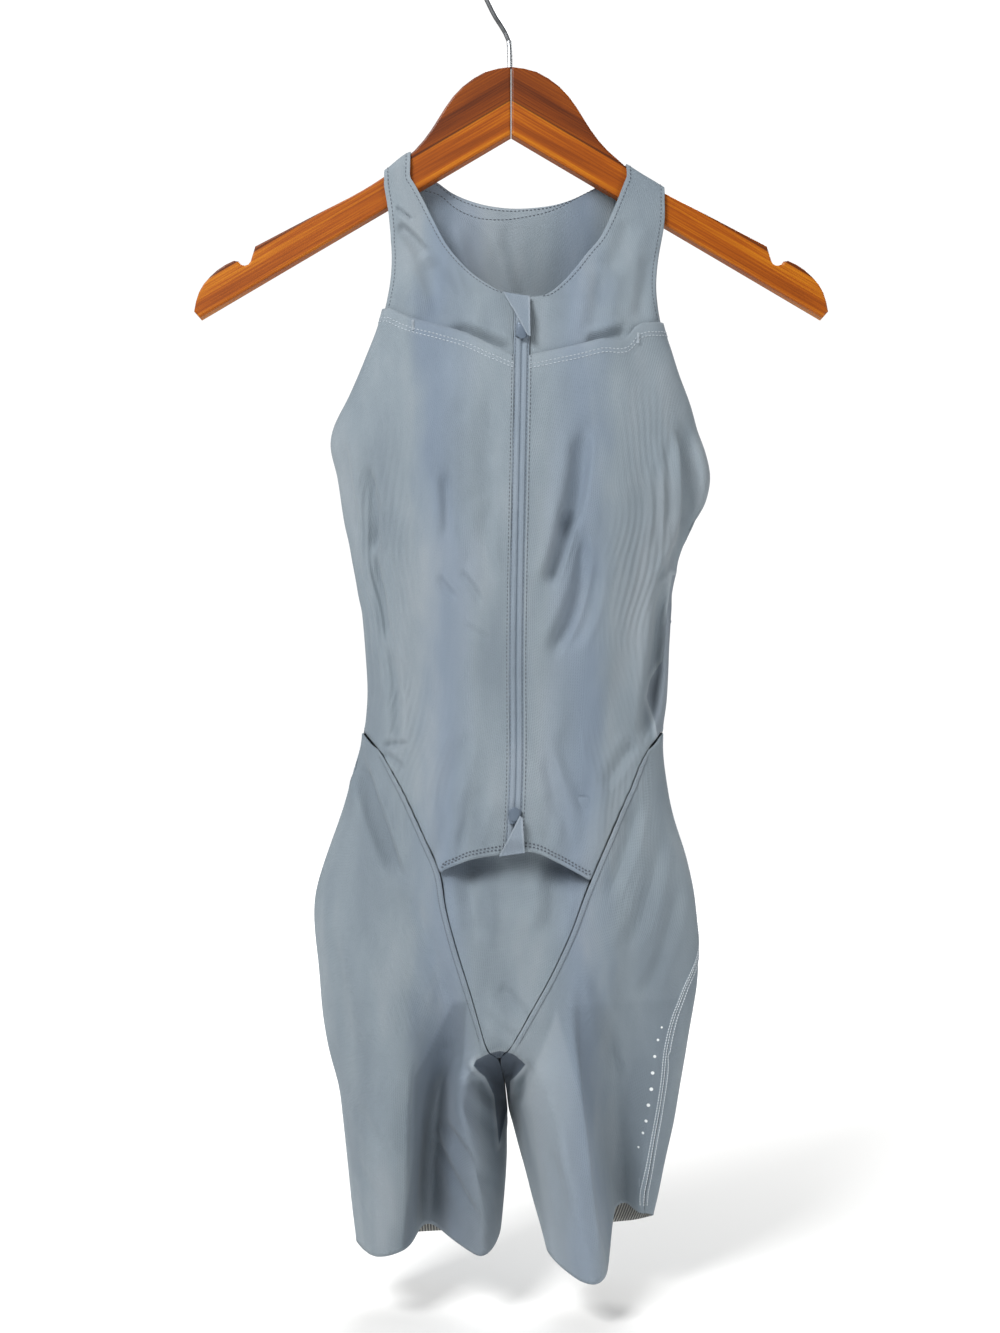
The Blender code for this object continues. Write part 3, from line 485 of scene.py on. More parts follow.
def body_front(side, u, v):
    """One front body piece; u runs from the side seam to the zip."""
    corner = hem_corner_share(side)
    if u < CORNER_COLUMN:
        share = corner * u / CORNER_COLUMN
    else:
        share = corner + (1 - corner) * (u - CORNER_COLUMN) / (1 - CORNER_COLUMN)
    z_low = body_low_edge(side, share)
    z_top = table_at(POCKET[side], body_share_x(side, share, POCKET_LEVEL))
    z = z_low + (z_top - z_low) * v
    q = body_share_q(side, share, z)
    x = skin(side, q, z)[0]
    return skin(side, q, z, hem_flare(x, z) + pocket_gape(x, z, POCKET[side]))


def arm_top(x):
    """The upper edge of a hanger arm."""
    return table_at(ARM_TOP, abs(x))


def yoke_front(side, u, v):
    """Yoke and strap; u runs from the armhole to the neck and the zip's edge."""
    armhole_low = POCKET[side][0 if side < 0 else -1][1] - POCKET_LAP
    zip_low = POCKET[-1][-1][1] - POCKET_LAP
    zip_edge = centre(zip_low) + side * (TAPE_HALF + SEAM)
    base, behind = STRAP_BASE[side], STRAP_BACK[side]
    t = min(1.0, v / STRAP_FROM)
    z_outer = armhole_low + (base[0] - armhole_low) * t
    outer_x = body_edge(side, z_outer) - side * SEAM
    if t < YOKE_ZIP_SHARE:
        inner_x, inner_z = mix((zip_edge, zip_low), NECK[side][-1], t / YOKE_ZIP_SHARE)
    else:
        inner_x, inner_z = along(NECK[side], 1 - (t - YOKE_ZIP_SHARE) / (1 - YOKE_ZIP_SHARE))
    x = outer_x + (inner_x - outer_x) * u
    z = z_outer + (inner_z - z_outer) * u
    if v <= STRAP_FROM:
        edge = table_at(POCKET[side], x)
        return front(x, z, -LAYER * (1 - between(edge + LAP_EASE[0], z, edge + LAP_EASE[1])))
    turn = math.pi * (v - STRAP_FROM) / (1 - STRAP_FROM)
    z_back = behind[0] + (behind[1] - behind[0]) * u
    z_base = z + (z_back - z) * turn / math.pi
    top = arm_top(x) + STRAP_RISE + STRAP_HUMP * (1 - u ** 4)
    y = front(x, z)[1]
    across, rise = math.cos(turn), math.sin(turn)
    y *= math.copysign(abs(across) ** STRAP_SQUARE, across)
    return x, y, z_base + (top - z_base) * max(0.0, rise) ** STRAP_SQUARE


def back_turn(x, z):
    """The back's own coordinate: 1 at the right side, 0 at the centre back, -1 at the left."""
    outer = body_edge(1 if x > centre(z) else -1, z)
    share = min(1.0, (x - centre(z)) / (outer - centre(z)))
    return math.copysign(2 / math.pi * math.asin(share), x - centre(z))


def back_body(u, v):
    """The upper back; u runs from the right side to the left."""
    strap = {side: STRAP_BACK[side][0] - 3 * SEAM for side in (-1, 1)}
    low_z = WAIST + SEAM
    edge = {side: [(side, low_z), (side, -460), (side, -358),
                   *((back_turn(x, z), z) for x, z in reversed(BACK_ARMHOLE[side][1:-1])),
                   (side, strap[side])] for side in (-1, 1)}

    def top(s):
        if s < STRAP_SHARE:
            x, z = mix((body_edge(1, strap[1]), strap[1]), BACK_NECK[-1], s / STRAP_SHARE)
        elif s > 1 - STRAP_SHARE:
            outer = (body_edge(-1, strap[-1]), strap[-1])
            x, z = mix(outer, BACK_NECK[0], (1 - s) / STRAP_SHARE)
        else:
            x, z = along(BACK_NECK, 1 - (s - STRAP_SHARE) / (1 - 2 * STRAP_SHARE))
        return back_turn(x, z), z

    turn, z = patch(lambda t: height_along(edge[1], t), lambda t: height_along(edge[-1], t), top,
                    lambda s: (1 - 2 * s, low_z), u, v)
    side = 1 if turn > 0 else -1
    return skin(side, 2 - abs(turn) * (1 - SIDE_GAP), z)


def height_along(line, t):
    """The point of a line at a share t of its height."""
    z = line[0][1] + (line[-1][1] - line[0][1]) * t
    return max(-1.0, min(1.0, line_x(line, z))), z


def mix(a, b, t):
    return tuple(p + (q - p) * t for p, q in zip(a, b))


@functools.lru_cache(maxsize=None)
def front_seam_q(side, z):
    """q of the seam at a leg front's inner edge, and of the centre line below the crotch."""
    seam_z = max(z, FRONT_CROTCH)
    q = skin_q(line_x(V_SEAM[side], seam_z), seam_z)[1]
    return q * (1 - min(1.0, max(0.0, (CROTCH_NARROWS - z) / CROTCH_WRAP)))


@functools.lru_cache(maxsize=None)
def side_seam_q(side, z):
    """q of a leg's outer seam, which comes round to the front on the right leg."""
    if side < 0:
        return LEFT_SIDE_SEAM
    low = skin_q(line_x(RIGHT_LEG_SEAM, min(z, RIGHT_LEG_SEAM[0][1])), z)[1]
    return RIGHT_SIDE_SEAM + (low - RIGHT_SIDE_SEAM) * between(690, -z, 742)


def hem_drop(side, q, z):
    """z with the hem's uneven drop, which fades out up the leg."""
    return z - table_at(HEM_DROP[side], q) * between(-BACK_CROTCH + 8, -z, -HEM)


def crotch_clearance(z):
    """The wall's room where four pieces meet under the crotch."""
    return SEAM + 1.8 * between(812, -z, 828) * (1 - between(872, -z, 888))


def leg_height(top, v):
    """z at a share v of the way from the hem to one of the leg's upper corners."""
    return HEM + (top - 2 * SEAM - HEM) * v


def leg_front(side, u, v):
    """A leg's front; u runs from the outer seam to the inner edge."""
    z_outer, z_inner = leg_height(WAIST, v), leg_height(KNOT, v)
    outer = inset(side, side_seam_q(side, z_outer), z_outer, -SEAM)
    inner = inset(side, front_seam_q(side, z_inner), z_inner, crotch_clearance(z_inner))
    q = outer + (inner - outer) * u
    return skin(side, q, hem_drop(side, q, z_outer + (z_inner - z_outer) * u))


def leg_back(side, u, v):
    """A leg's seat and back; u runs from the outer seam to the centre back or inner leg."""
    z = leg_height(WAIST, v)
    outer = inset(side, side_seam_q(side, z), z, SEAM)
    speed = math.dist(bare_skin(side, 1.995, z), bare_skin(side, 2.0, z)) / 0.005
    q = outer + (2 - SEAM / max(20.0, speed) - outer) * u
    return skin(side, q, hem_drop(side, q, z))


def grip(side, u, v):
    """The elastic's place on a leg's skin; u runs round the leg from the centre back."""
    turn = min(1 - GRIP_END, max(GRIP_END, u)) * (BACK_COLUMNS + FRONT_COLUMNS)
    up = v * GRIP_ROWS / LEG_ROWS
    if turn < BACK_COLUMNS:
        return leg_back(side, 1 - turn / BACK_COLUMNS, up)
    return leg_front(side, (turn - BACK_COLUMNS) / FRONT_COLUMNS, up)


def crotch_panel(u, v):
    """The front of the shorts between the two diagonal seams; u runs left to right."""
    z_end = CROTCH_NARROWS - CROTCH_WRAP * 0.55
    z = z_end + (SHORTS_TOP - z_end) * v
    left = skin(-1, front_seam_q(-1, z), z)[0] + SEAM_V
    right = skin(1, front_seam_q(1, z), z)[0] - SEAM_V
    x = left + (right - left) * u
    under = LAYER + SHORTS_SINK * (4 * u * (1 - u)) * between(-SHORTS_TOP, -z, 640)
    return front(x, z, -under * (1 - between(660, -z, 690)))


def zip_strip(u, v):
    z = ZIP_END + (ZIP_TOP - ZIP_END) * v
    x = centre(z) + TAPE_HALF * (2 * u - 1)
    return front(x, z, hem_flare(x, z) + STRIP_PROUD)


def flap(top, bottom, high, u, v):
    """A flat tab given by its upper and lower edges; high is its lift at both."""
    x = bottom[0] + (bottom[1] - bottom[0]) * u
    x += (top[0] + (top[1] - top[0]) * u - x) * v
    z = bottom[2] + (bottom[3] - bottom[2]) * u
    z += (top[2] + (top[3] - top[2]) * u - z) * v
    rise = between(0, v if high[0] > high[1] else 1 - v, 0.5)
    lift = min(high) + (max(high) - min(high)) * rise
    middle = centre(z)
    return x, front(middle, z, STRIP_PROUD + WALL + lift + hem_flare(middle, z))[1], z


def turned(place, side, turn):
    """A place on one side of the garment, with u turned round where turn is positive."""
    if turn < 0:
        return lambda u, v: place(side, u, v)
    return lambda u, v: place(side, 1 - u, v)


# ---------------------------------------------------------------- creases, bands and ripples

# A crease: three points of its curved line in front view, half width, depth, and how much
# steeper one side of it is than the other
Crease = namedtuple("Crease", "name top middle end width depth skew")
FRONT_CREASES = [Crease(*row) for row in (
    ("right chest", (49.2, -349.8), (50.6, -394.4), (36.2, -428.8), 4.8, 2.0, 0.3),
    ("right chest low", (43.0, -404.7), (38.2, -434.2), (25.9, -464.5), 3.1, 2.6, 0.5),
    ("right rib", (47.8, -421.2), (55.4, -466.5), (24.5, -512.5), 4.1, 2.2, 0.3),
    ("right rib twin", (58.1, -442.5), (60.9, -476.8), (41.7, -504.3), 3.4, 0.9, 0),
    ("right underarm", (117.2, -348.4), (126.8, -391.0), (119.2, -426.0), 3.8, 2.6, -0.4),
    ("right underarm low", (122.7, -415.0), (113.1, -442.5), (102.1, -459.6), 3.4, 1.2, 0),
    ("right side", (107.6, -442.5), (104.8, -497.4), (96.6, -538.6), 4.8, 0.4, 0),
    ("left side", (-101.1, -374.5), (-90.8, -408.2), (-95.0, -438.4), 3.4, 1.8, 0.2),
    ("left side mid", (-95.0, -437.0), (-89.5, -469.9), (-85.3, -500.8), 2.8, 1.5, 0),
    ("left side low", (-85.3, -498.1), (-78.5, -538.6), (-79.9, -574.3), 3.4, 1.6, 0),
    ("left wrinkle a", (-99.8, -380.7), (-93.6, -411.6), (-96.3, -439.7), 1.4, 0.7, 0),
    ("left wrinkle b", (-95.0, -384.8), (-89.5, -413.7), (-92.2, -442.5), 1.4, 0.6, 0),
    ("left wrinkle c", (-89.5, -401.3), (-84.7, -421.9), (-87.4, -446.6), 1.4, 0.5, 0),
    ("left chest", (-44.8, -379.3), (-42.1, -406.8), (-44.8, -432.2), 2.8, 1.3, 0.3),
    ("left rib a", (-49.6, -452.1), (-45.5, -463.1), (-37.3, -468.6), 2.1, 1.1, 0.3),
    ("left rib b", (-35.9, -449.4), (-26.3, -459.0), (-18.8, -474.1), 2.1, 1.1, 0.3),
    ("left short", (-34.5, -487.2), (-22.9, -491.2), (-13.9, -499.1), 2.4, 0.6, 0.2),
    ("hem fold a", (-41.4, -603.8), (-44.8, -631.3), (-53.1, -651.2), 5.5, 1.1, 0),
    ("hem fold b", (-20.1, -592.1), (-23.6, -621.0), (-36.6, -643.0), 5.5, 1.0, 0),
    ("hem fold c", (50.6, -586.7), (54.0, -621.0), (47.2, -647.1), 5.5, 0.9, 0),
    ("hem fold d", (25.2, -600.4), (27.9, -621.0), (23.8, -638.8), 4.1, 0.6, 0),
    ("left band", (-79.9, -332.6), (-64.1, -469.9), (-59.3, -641.6), 9.7, 0.9, 0),
    ("right band", (91.8, -332.6), (96.6, -442.5), (74.6, -559.2), 9.7, 0.9, 0),
    ("left centre", (-16.0, -318.9), (-11.9, -380.7), (-18.8, -442.5), 6.2, 0.8, 0),
    ("left cloud a", (-36, -330), (-30, -356), (-8, -380), 7.0, 0.9, 0.2),
    ("left cloud b", (-30, -392), (-24, -420), (-30, -452), 6.0, 1.1, -0.2),
    ("left cloud c", (-14, -400), (-22, -430), (-12, -462), 4.5, 0.9, 0.2),
    ("left belly", (-30, -560), (-38, -590), (-52, -620), 6.0, 1.0, 0.2),
    ("right belly", (34, -556), (40, -590), (54, -622), 5.5, 1.0, -0.2),
    ("right belly low", (22, -575), (30, -600), (34, -626), 4.0, 0.9, 0),
    ("left edge a", (-118, -352), (-112, -392), (-107, -430), 3.0, 1.0, 0.2),
    ("right edge a", (108, -356), (112, -392), (108, -424), 3.0, 1.2, 0.2),
    ("right edge b", (100, -372), (104, -400), (100, -436), 2.4, 0.9, 0.2),
    ("left knot a", (-91.5, -571.6), (-81.9, -567.4), (-69.6, -568.8), 1.8, 1.3, 0.3),
    ("left knot b", (-90.8, -574.3), (-80.5, -578.4), (-72.3, -588.0), 1.8, 1.3, 0.3),
    ("right waist gap", (105, -462), (103, -520), (94, -567), 4.0, 0.8, 0.2),
    ("right hip", (88.3, -567.4), (76.0, -579.8), (63.6, -601.8), 4.1, 1.0, 0.2),
)]
YOKE_CREASES = [Crease(*row) for row in (
    ("strap crease a", (-81.2, -192.6), (-75.0, -197.4), (-68.2, -203.6), 1.5, 1.2, 0.3),
    ("strap crease b", (-80.5, -204.9), (-68.2, -213.2), (-58.6, -229.7), 3.4, 1.7, 0.3),
    ("strap valley", (-59.9, -226.9), (-49.0, -253.7), (-51.7, -281.8), 8.3, 1.8, 0),
    ("strap inner", (-49.0, -237.9), (-33.9, -264.0), (-28.4, -288.7), 4.1, 0.8, 0),
    ("right strap", (84.2, -198.8), (78.0, -222.8), (65.0, -243.4), 6.2, 1.0, 0),
    ("right yoke", (65.0, -237.9), (60.9, -264.0), (54.0, -290.1), 5.5, 0.9, 0),
    ("left pocket gap", (-44, -281), (-20, -290), (2, -300), 4.5, 2.2, 0),
    ("right pocket gap", (50, -292), (68, -288), (82, -283), 4.0, 2.0, 0),
    ("right armhole", (98.6, -222.8), (93.8, -253.7), (88.3, -277.7), 4.8, 0.9, 0),
)]
LEG_CREASES = [Crease(*row) for row in (
    ("left seam trough", (-105.9, -578.4), (-94.3, -615.5), (-73.0, -667.7), 4.1, 2.2, 0.3),
    ("left thigh long", (-73.7, -665.6), (-49.0, -717.1), (-43.5, -751.4), 5.5, 1.0, 0),
    ("left diagonal a", (-49.0, -832.4), (-28.4, -853.0), (-7.1, -883.2), 4.1, 1.4, 0.3),
    ("left diagonal b", (-58.6, -844.8), (-40.7, -868.1), (-18.8, -903.8), 3.4, 1.1, 0.2),
    ("left diagonal c", (-33.9, -813.2), (-18.8, -833.8), (-4.3, -854.4), 3.4, 0.9, 0.2),
    ("left fold edge", (-64.5, -780), (-66.5, -850), (-68.5, -925), 5.0, 1.3, -0.6),
    ("right fold edge", (45.5, -730), (58.0, -852), (70.0, -935), 6.0, 2.6, -0.6),
    ("left lobe a", (-109.4, -816.6), (-94.3, -832.4), (-77.8, -861.3), 4.1, 0.7, 0),
    ("left lobe b", (-110.7, -854.4), (-95.6, -868.1), (-79.2, -897.0), 4.1, 0.6, 0),
    ("left outer", (-124.5, -696.5), (-119.0, -744.6), (-109.4, -785.7), 5.5, 1.0, 0),
    ("right thigh a", (88.3, -607.3), (82.9, -641.6), (63.6, -679.3), 4.8, 1.3, 0.2),
    ("right thigh b", (105.5, -627.8), (98.6, -675.9), (76.0, -720.5), 5.5, 1.1, 0.2),
    ("right thigh c", (117.2, -662.2), (110.3, -710.2), (88.3, -751.4), 4.8, 0.8, 0),
    ("crotch left", (-36, -790), (-22, -800), (-6, -832), 3.0, 1.6, 0.3),
    ("crotch right", (12, -783), (6, -805), (2, -828), 3.0, 1.4, -0.3),
    ("right lobe a", (30.7, -799.5), (41.7, -826.9), (45.8, -868.1), 4.8, 0.8, 0),
    ("right lobe b", (23.8, -840.7), (33.4, -868.1), (40.3, -909.3), 4.1, 0.7, 0),
    ("right groove", (54.0, -717.1), (67.7, -765.2), (76.0, -813.2), 4.1, 1.0, 0),
)]
CROTCH_CREASES = [Crease(*row) for row in (
    ("left hollow", (-28.4, -641.6), (-31.1, -672.5), (-20.1, -706.8), 6.2, 1.8, 0),
    ("right hollow", (27.9, -641.6), (33.4, -669.0), (23.8, -703.4), 6.2, 1.8, 0),
    ("soft diagonal", (-9.1, -734.3), (1.8, -744.6), (14.2, -759.7), 4.1, 1.0, 0.3),
    ("low diagonal", (-17.4, -751.4), (-7.8, -765.2), (6.0, -772.0), 3.4, 0.6, 0),
)]
# The back doesn't show: it gets creases of the same kind, uneven in the same way
BACK_CREASES = [Crease(*row) for row in (
    ("neck left", (-40, -196), (-34, -240), (-14, -282), 7.0, 1.6, 0.2),
    ("neck left twin", (-56, -188), (-56, -232), (-38, -300), 6.0, 1.3, 0),
    ("neck middle", (-14, -196), (-6, -236), (6, -262), 5.0, 1.0, 0),
    ("shoulder right", (78, -205), (72, -262), (46, -318), 7.5, 1.3, 0.2),
    ("blade left", (-98, -345), (-70, -392), (-62, -455), 7.0, 1.8, 0.3),
    ("blade left twin", (-112, -372), (-88, -420), (-84, -470), 4.5, 1.2, 0),
    ("blade right", (112, -352), (84, -398), (78, -468), 6.0, 2.0, 0.3),
    ("blade right low", (120, -402), (98, -436), (94, -478), 4.0, 1.2, 0),
    ("spine", (2, -300), (10, -392), (-4, -486), 9.0, 1.1, 0),
    ("waist left", (-92, -512), (-60, -524), (-36, -548), 4.0, 1.3, 0.3),
    ("waist left low", (-98, -534), (-74, -540), (-52, -556), 3.0, 0.9, 0.2),
    ("waist right", (100, -506), (66, -520), (38, -550), 4.5, 1.5, 0.3),
    ("waist right low", (102, -530), (84, -538), (66, -554), 3.0, 0.8, 0),
    ("seat left", (-96, -600), (-66, -650), (-22, -690), 7.0, 1.6, 0.2),
    ("seat left twin", (-112, -640), (-84, -690), (-48, -724), 5.0, 1.1, 0),
    ("seat right", (94, -596), (64, -640), (26, -680), 6.5, 1.4, 0.2),
    ("seat right twin", (112, -652), (90, -700), (58, -738), 5.5, 1.2, 0),
    ("under seat left", (-96, -762), (-60, -776), (-18, -770), 5.0, 1.5, 0.4),
    ("under seat right", (98, -758), (62, -778), (16, -770), 5.0, 1.6, 0.4),
    ("thigh left", (-92, -800), (-72, -850), (-66, -905), 6.0, 1.2, 0),
    ("thigh left low", (-58, -826), (-44, -868), (-38, -900), 4.5, 0.9, 0),
    ("thigh right", (90, -796), (76, -846), (74, -900), 6.0, 1.3, 0),
    ("thigh right low", (54, -822), (52, -866), (56, -898), 4.5, 0.8, 0),
)]

# Shaded places with a clear edge, in front view: the arch below the crotch and the turned-in
# right side of the waist
CROTCH_ARCH = [(-26.7, -789.4), (-22.9, -785.7), (-16.0, -782.4), (-8.0, -780.2), (1.5, -782.3),
               (9.9, -789.4), (5.1, -798.1), (-0.5, -807.7), (-1.0, -830.3), (-8.5, -854.4),
               (-11.9, -820.8), (-18.1, -801.5)]
WAIST_TURN = [(113.0, -451.0), (109.4, -482.0), (106.8, -511.0), (98.6, -524.0), (95.1, -537.0),
              (100.7, -554.5), (104.4, -572.6), (128.0, -572.6), (128.0, -451.0)]
SINK_RUN = 5.0              # how far inside its outline such a place reaches its depth

# Where the pressed legs are lit or shaded: the outline, how pale or dark, and how soft its edge
Tone = namedtuple("Tone", "name outline pale soft")
LEG_TONES = [Tone(*row) for row in (
    ("shaded plane of the left leg",
     [(-40.3, -746.4), (-57.6, -781.7), (-67.3, -796.9), (-68.7, -855.7), (-74.9, -906.2),
      (-75.6, -927.7), (-7.8, -933.2), (-1.5, -836.3), (-16.1, -805.2), (-34.1, -800.4),
      (-31.3, -774.1), (-29.9, -746.4)], -0.3, 1.6),
    ("bottom of the left leg's groove",
     [(-50.7, -781.0), (-60.4, -822.5), (-63.1, -870.9), (-68.7, -919.4), (-50.7, -919.4),
      (-47.9, -870.9), (-45.1, -829.4), (-41.0, -781.0)], 0.5, 8.0),
    ("lit edge of the right leg",
     [(13.0, -794.8), (31.0, -746.4), (46.9, -801.7), (58.0, -844.0), (65.6, -904.8),
      (65.6, -947.1), (31.0, -947.1), (17.1, -870.9), (4.7, -822.5)], 0.22, 3.0),
    ("shaded plane of the right leg",
     [(35.1, -746.4), (47.6, -801.7), (58.7, -844.0), (66.3, -904.8), (66.3, -947.1),
      (116.8, -947.1), (116.8, -746.4)], -0.1, 3.0),
)]

# A hollow: middle, half size, depth, how much painted shade it gets, 0 to 1, and how clear its
# rim is. The crotch panel's hollows are the painted shadows under the body's free hem
Hollow = namedtuple("Hollow", "middle reach depth shade rim")
PANEL_HOLLOWS = [Hollow((-27, -653), (21, 11), 4.0, 0.66, 1.5),
                 Hollow((38, -655), (20, 12), 4.0, 0.72, 1.5),
                 Hollow((6, -648), (18, 6), 1.5, 0.4, 1)]

# Fine ripples of the knit: middle of a patch, its half size, the line's turn from upright in
# degrees, the spacing and the height
Ripple = namedtuple("Ripple", "middle reach turn spacing height")
RIPPLES = [Ripple(*row) for row in (
    ((-86, -440), (24, 95), 2, 4.6, 0.50),
    ((-66, -575), (24, 75), -6, 4.2, 0.30),
    ((94, -425), (26, 95), -3, 4.6, 0.34),
    ((72, -570), (24, 80), 9, 4.0, 0.20),
    ((-94, -830), (22, 85), 45, 3.8, 0.26),
    ((-70, -730), (30, 60), 30, 3.4, 0.13),
    ((44, -815), (28, 85), -32, 3.6, 0.12),
    ((84, -700), (26, 60), -20, 3.6, 0.10),
)]

# A band along one edge of a piece: the distances in between which it lies, how far it stands
# out, how pale it is, a painted highlight along the raised band, and the share of the edge that
# it takes
Band = namedtuple("Band", "edge start end lift pale share")
WHOLE = (0, 1)
BAND_STEP = 0.5             # the width of the step at a band's sides
BAND_END = 0.02             # and at its ends, as a share of the edge

SLACK = 0.34                # height of the hanging cloth's shallow waves
CREASE_SHARE = 2.0          # how much of each listed depth shows in this lie of the cloth
CREASE_STEPS = 24           # straight runs in a crease's line
CREASE_FADE = 0.22          # share of its line over which a crease fades at each end
RIDGE_AT, RIDGE_WIDTH, RIDGE_SHARE = 1.9, 0.75, 0.3     # of the crease's half width and depth


def crease_depth(x, z, crease):
    """How far one crease presses each point in; a low ridge runs along both of its sides."""
    steps = np.linspace(0, 1, CREASE_STEPS + 1)[:, None]
    a, b, c = (np.array(point, float) for point in (crease.top, crease.middle, crease.end))
    line = a * (1 - steps) ** 2 + 2 * b * steps * (1 - steps) + c * steps ** 2
    points = np.stack([x.ravel(), z.ravel()], axis=1)
    best = np.full(len(points), 1e9)
    place, aside = np.zeros(len(points)), np.zeros(len(points))
    for n in range(CREASE_STEPS):
        run = line[n + 1] - line[n]
        rel = points - line[n]
        t = np.clip(rel @ run / (run @ run), 0, 1)
        gap = np.hypot(*(rel - t[:, None] * run).T)
        nearer = gap < best
        cross = run[0] * rel[:, 1] - run[1] * rel[:, 0]
        best[nearer] = gap[nearer]
        place[nearer] = (n + t[nearer]) / CREASE_STEPS
        aside[nearer] = np.sign(cross[nearer])
    across = best / crease.width * (1 + crease.skew * aside)
    fade = np.clip(np.minimum(place, 1 - place) / CREASE_FADE, 0, 1)
    fade = fade * fade * (3 - 2 * fade)
    trough = np.exp(-across ** 2)
    ridge = np.exp(-((across - RIDGE_AT) / RIDGE_WIDTH) ** 2)
    depth = CREASE_SHARE * crease.depth * fade * (trough - RIDGE_SHARE * ridge)
    return depth.reshape(x.shape)


def inside_outline(x, z, outline):
    """How far inside a closed outline each point lies, below 0 outside of it."""
    corners = np.array(outline, float)
    gap, odd = np.full(x.shape, 1e9), np.zeros(x.shape, dtype=bool)
    for a, b in zip(corners, np.roll(corners, -1, axis=0)):
        run = b - a
        t = np.clip(((x - a[0]) * run[0] + (z - a[1]) * run[1]) / (run @ run), 0, 1)
        gap = np.minimum(gap, np.hypot(x - a[0] - t * run[0], z - a[1] - t * run[1]))
        crosses = (a[1] > z) != (b[1] > z)
        level = a[0] + (z - a[1]) * run[0] / (run[1] or 1e-9)
        odd ^= crosses & (x < level)
    return np.where(odd, gap, -gap)


def soft_waves(x, z):
    """The slack of the hanging cloth: shallow upright waves a few centimetres apart."""
    wave = np.sin(x / 6.1 + 1.6 * np.sin(z / 43.0 + x / 90.0)) * np.sin(z / 33.0 + 1.3)
    wave += 0.8 * np.sin(x / 4.2 - z / 27.0 + 2.1) * np.sin(z / 21.0 - x / 50.0)
    wave += 0.7 * np.sin(z / 12.0 + x / 17.0 + 0.4) * np.sin(x / 11.0 - 0.8)
    return SLACK * wave


def ripple_height(x, z, ripple):
    away = ((x - ripple.middle[0]) / ripple.reach[0]) ** 2
    away += ((z - ripple.middle[1]) / ripple.reach[1]) ** 2
    turn = math.radians(ripple.turn)
    across = (x - ripple.middle[0]) * math.cos(turn) + (z - ripple.middle[1]) * math.sin(turn)
    wander = 6.0 * np.sin(z / 27.0 + x / 70.0) + 0.9 * np.sin(z / 9.0 - x / 13.0)
    wave = np.sin((across + wander) * 2 * math.pi / ripple.spacing)
    return ripple.height * np.exp(-away ** 2) * wave


# ------------------------------------------------------------------------------ cloth sheets

FAR_OUT = -30.0             # a point's distance inside any outline before one is sunk
FACING = 2.5                # how fast creases come in where the cloth turns to face one way
LIP_AT, LIP_WIDTH = 2.2, 1.5            # a sunk place's lip outside its outline
CLOSE_SHARE, CLOSE_REACH = 0.43, 7.0    # share of a gap that each edge takes, and how far in
CLOSE_LOW, CLOSE_HIGH = 9.0, 4.0        # heights over which that fades at its ends
TUCK_HEIGHT = 14.0          # how far down a raised corner reaches


def smooth_weights(count, fine):
    """Weights that read a smooth curve through count + 1 even places at fine + 1 places."""
    weights = np.zeros((fine + 1, count + 1))
    for row in range(fine + 1):
        i = min(count - 1, row * count // fine)
        t = row * count / fine - i
        four = (-0.5 * t + t * t - 0.5 * t ** 3, 1 - 2.5 * t * t + 1.5 * t ** 3,
                0.5 * t + 2 * t * t - 1.5 * t ** 3, -0.5 * t * t + 0.5 * t ** 3)
        for k, weight in zip((i - 1, i, i + 1, i + 2), four):
            if k < 0:
                weights[row, 0] += 2 * weight
                weights[row, 1] -= weight
            elif k > count:
                weights[row, count] += 2 * weight
                weights[row, count - 1] -= weight
            else:
                weights[row, k] += weight
    return weights


def normals_of(points):
    run_u = np.gradient(points, axis=1)
    run_v = np.gradient(points, axis=0)
    normal = np.cross(run_u, run_v)
    return normal / np.maximum(np.linalg.norm(normal, axis=2, keepdims=True), 1e-9)


def lengths(points, axis):
    """The distance walked along each row or column of a grid, from its first point."""
    step = np.linalg.norm(np.diff(points, axis=axis), axis=2)
    walked = np.cumsum(step, axis=axis)
    return np.concatenate([np.zeros_like(np.take(walked, [0], axis)), walked], axis=axis)


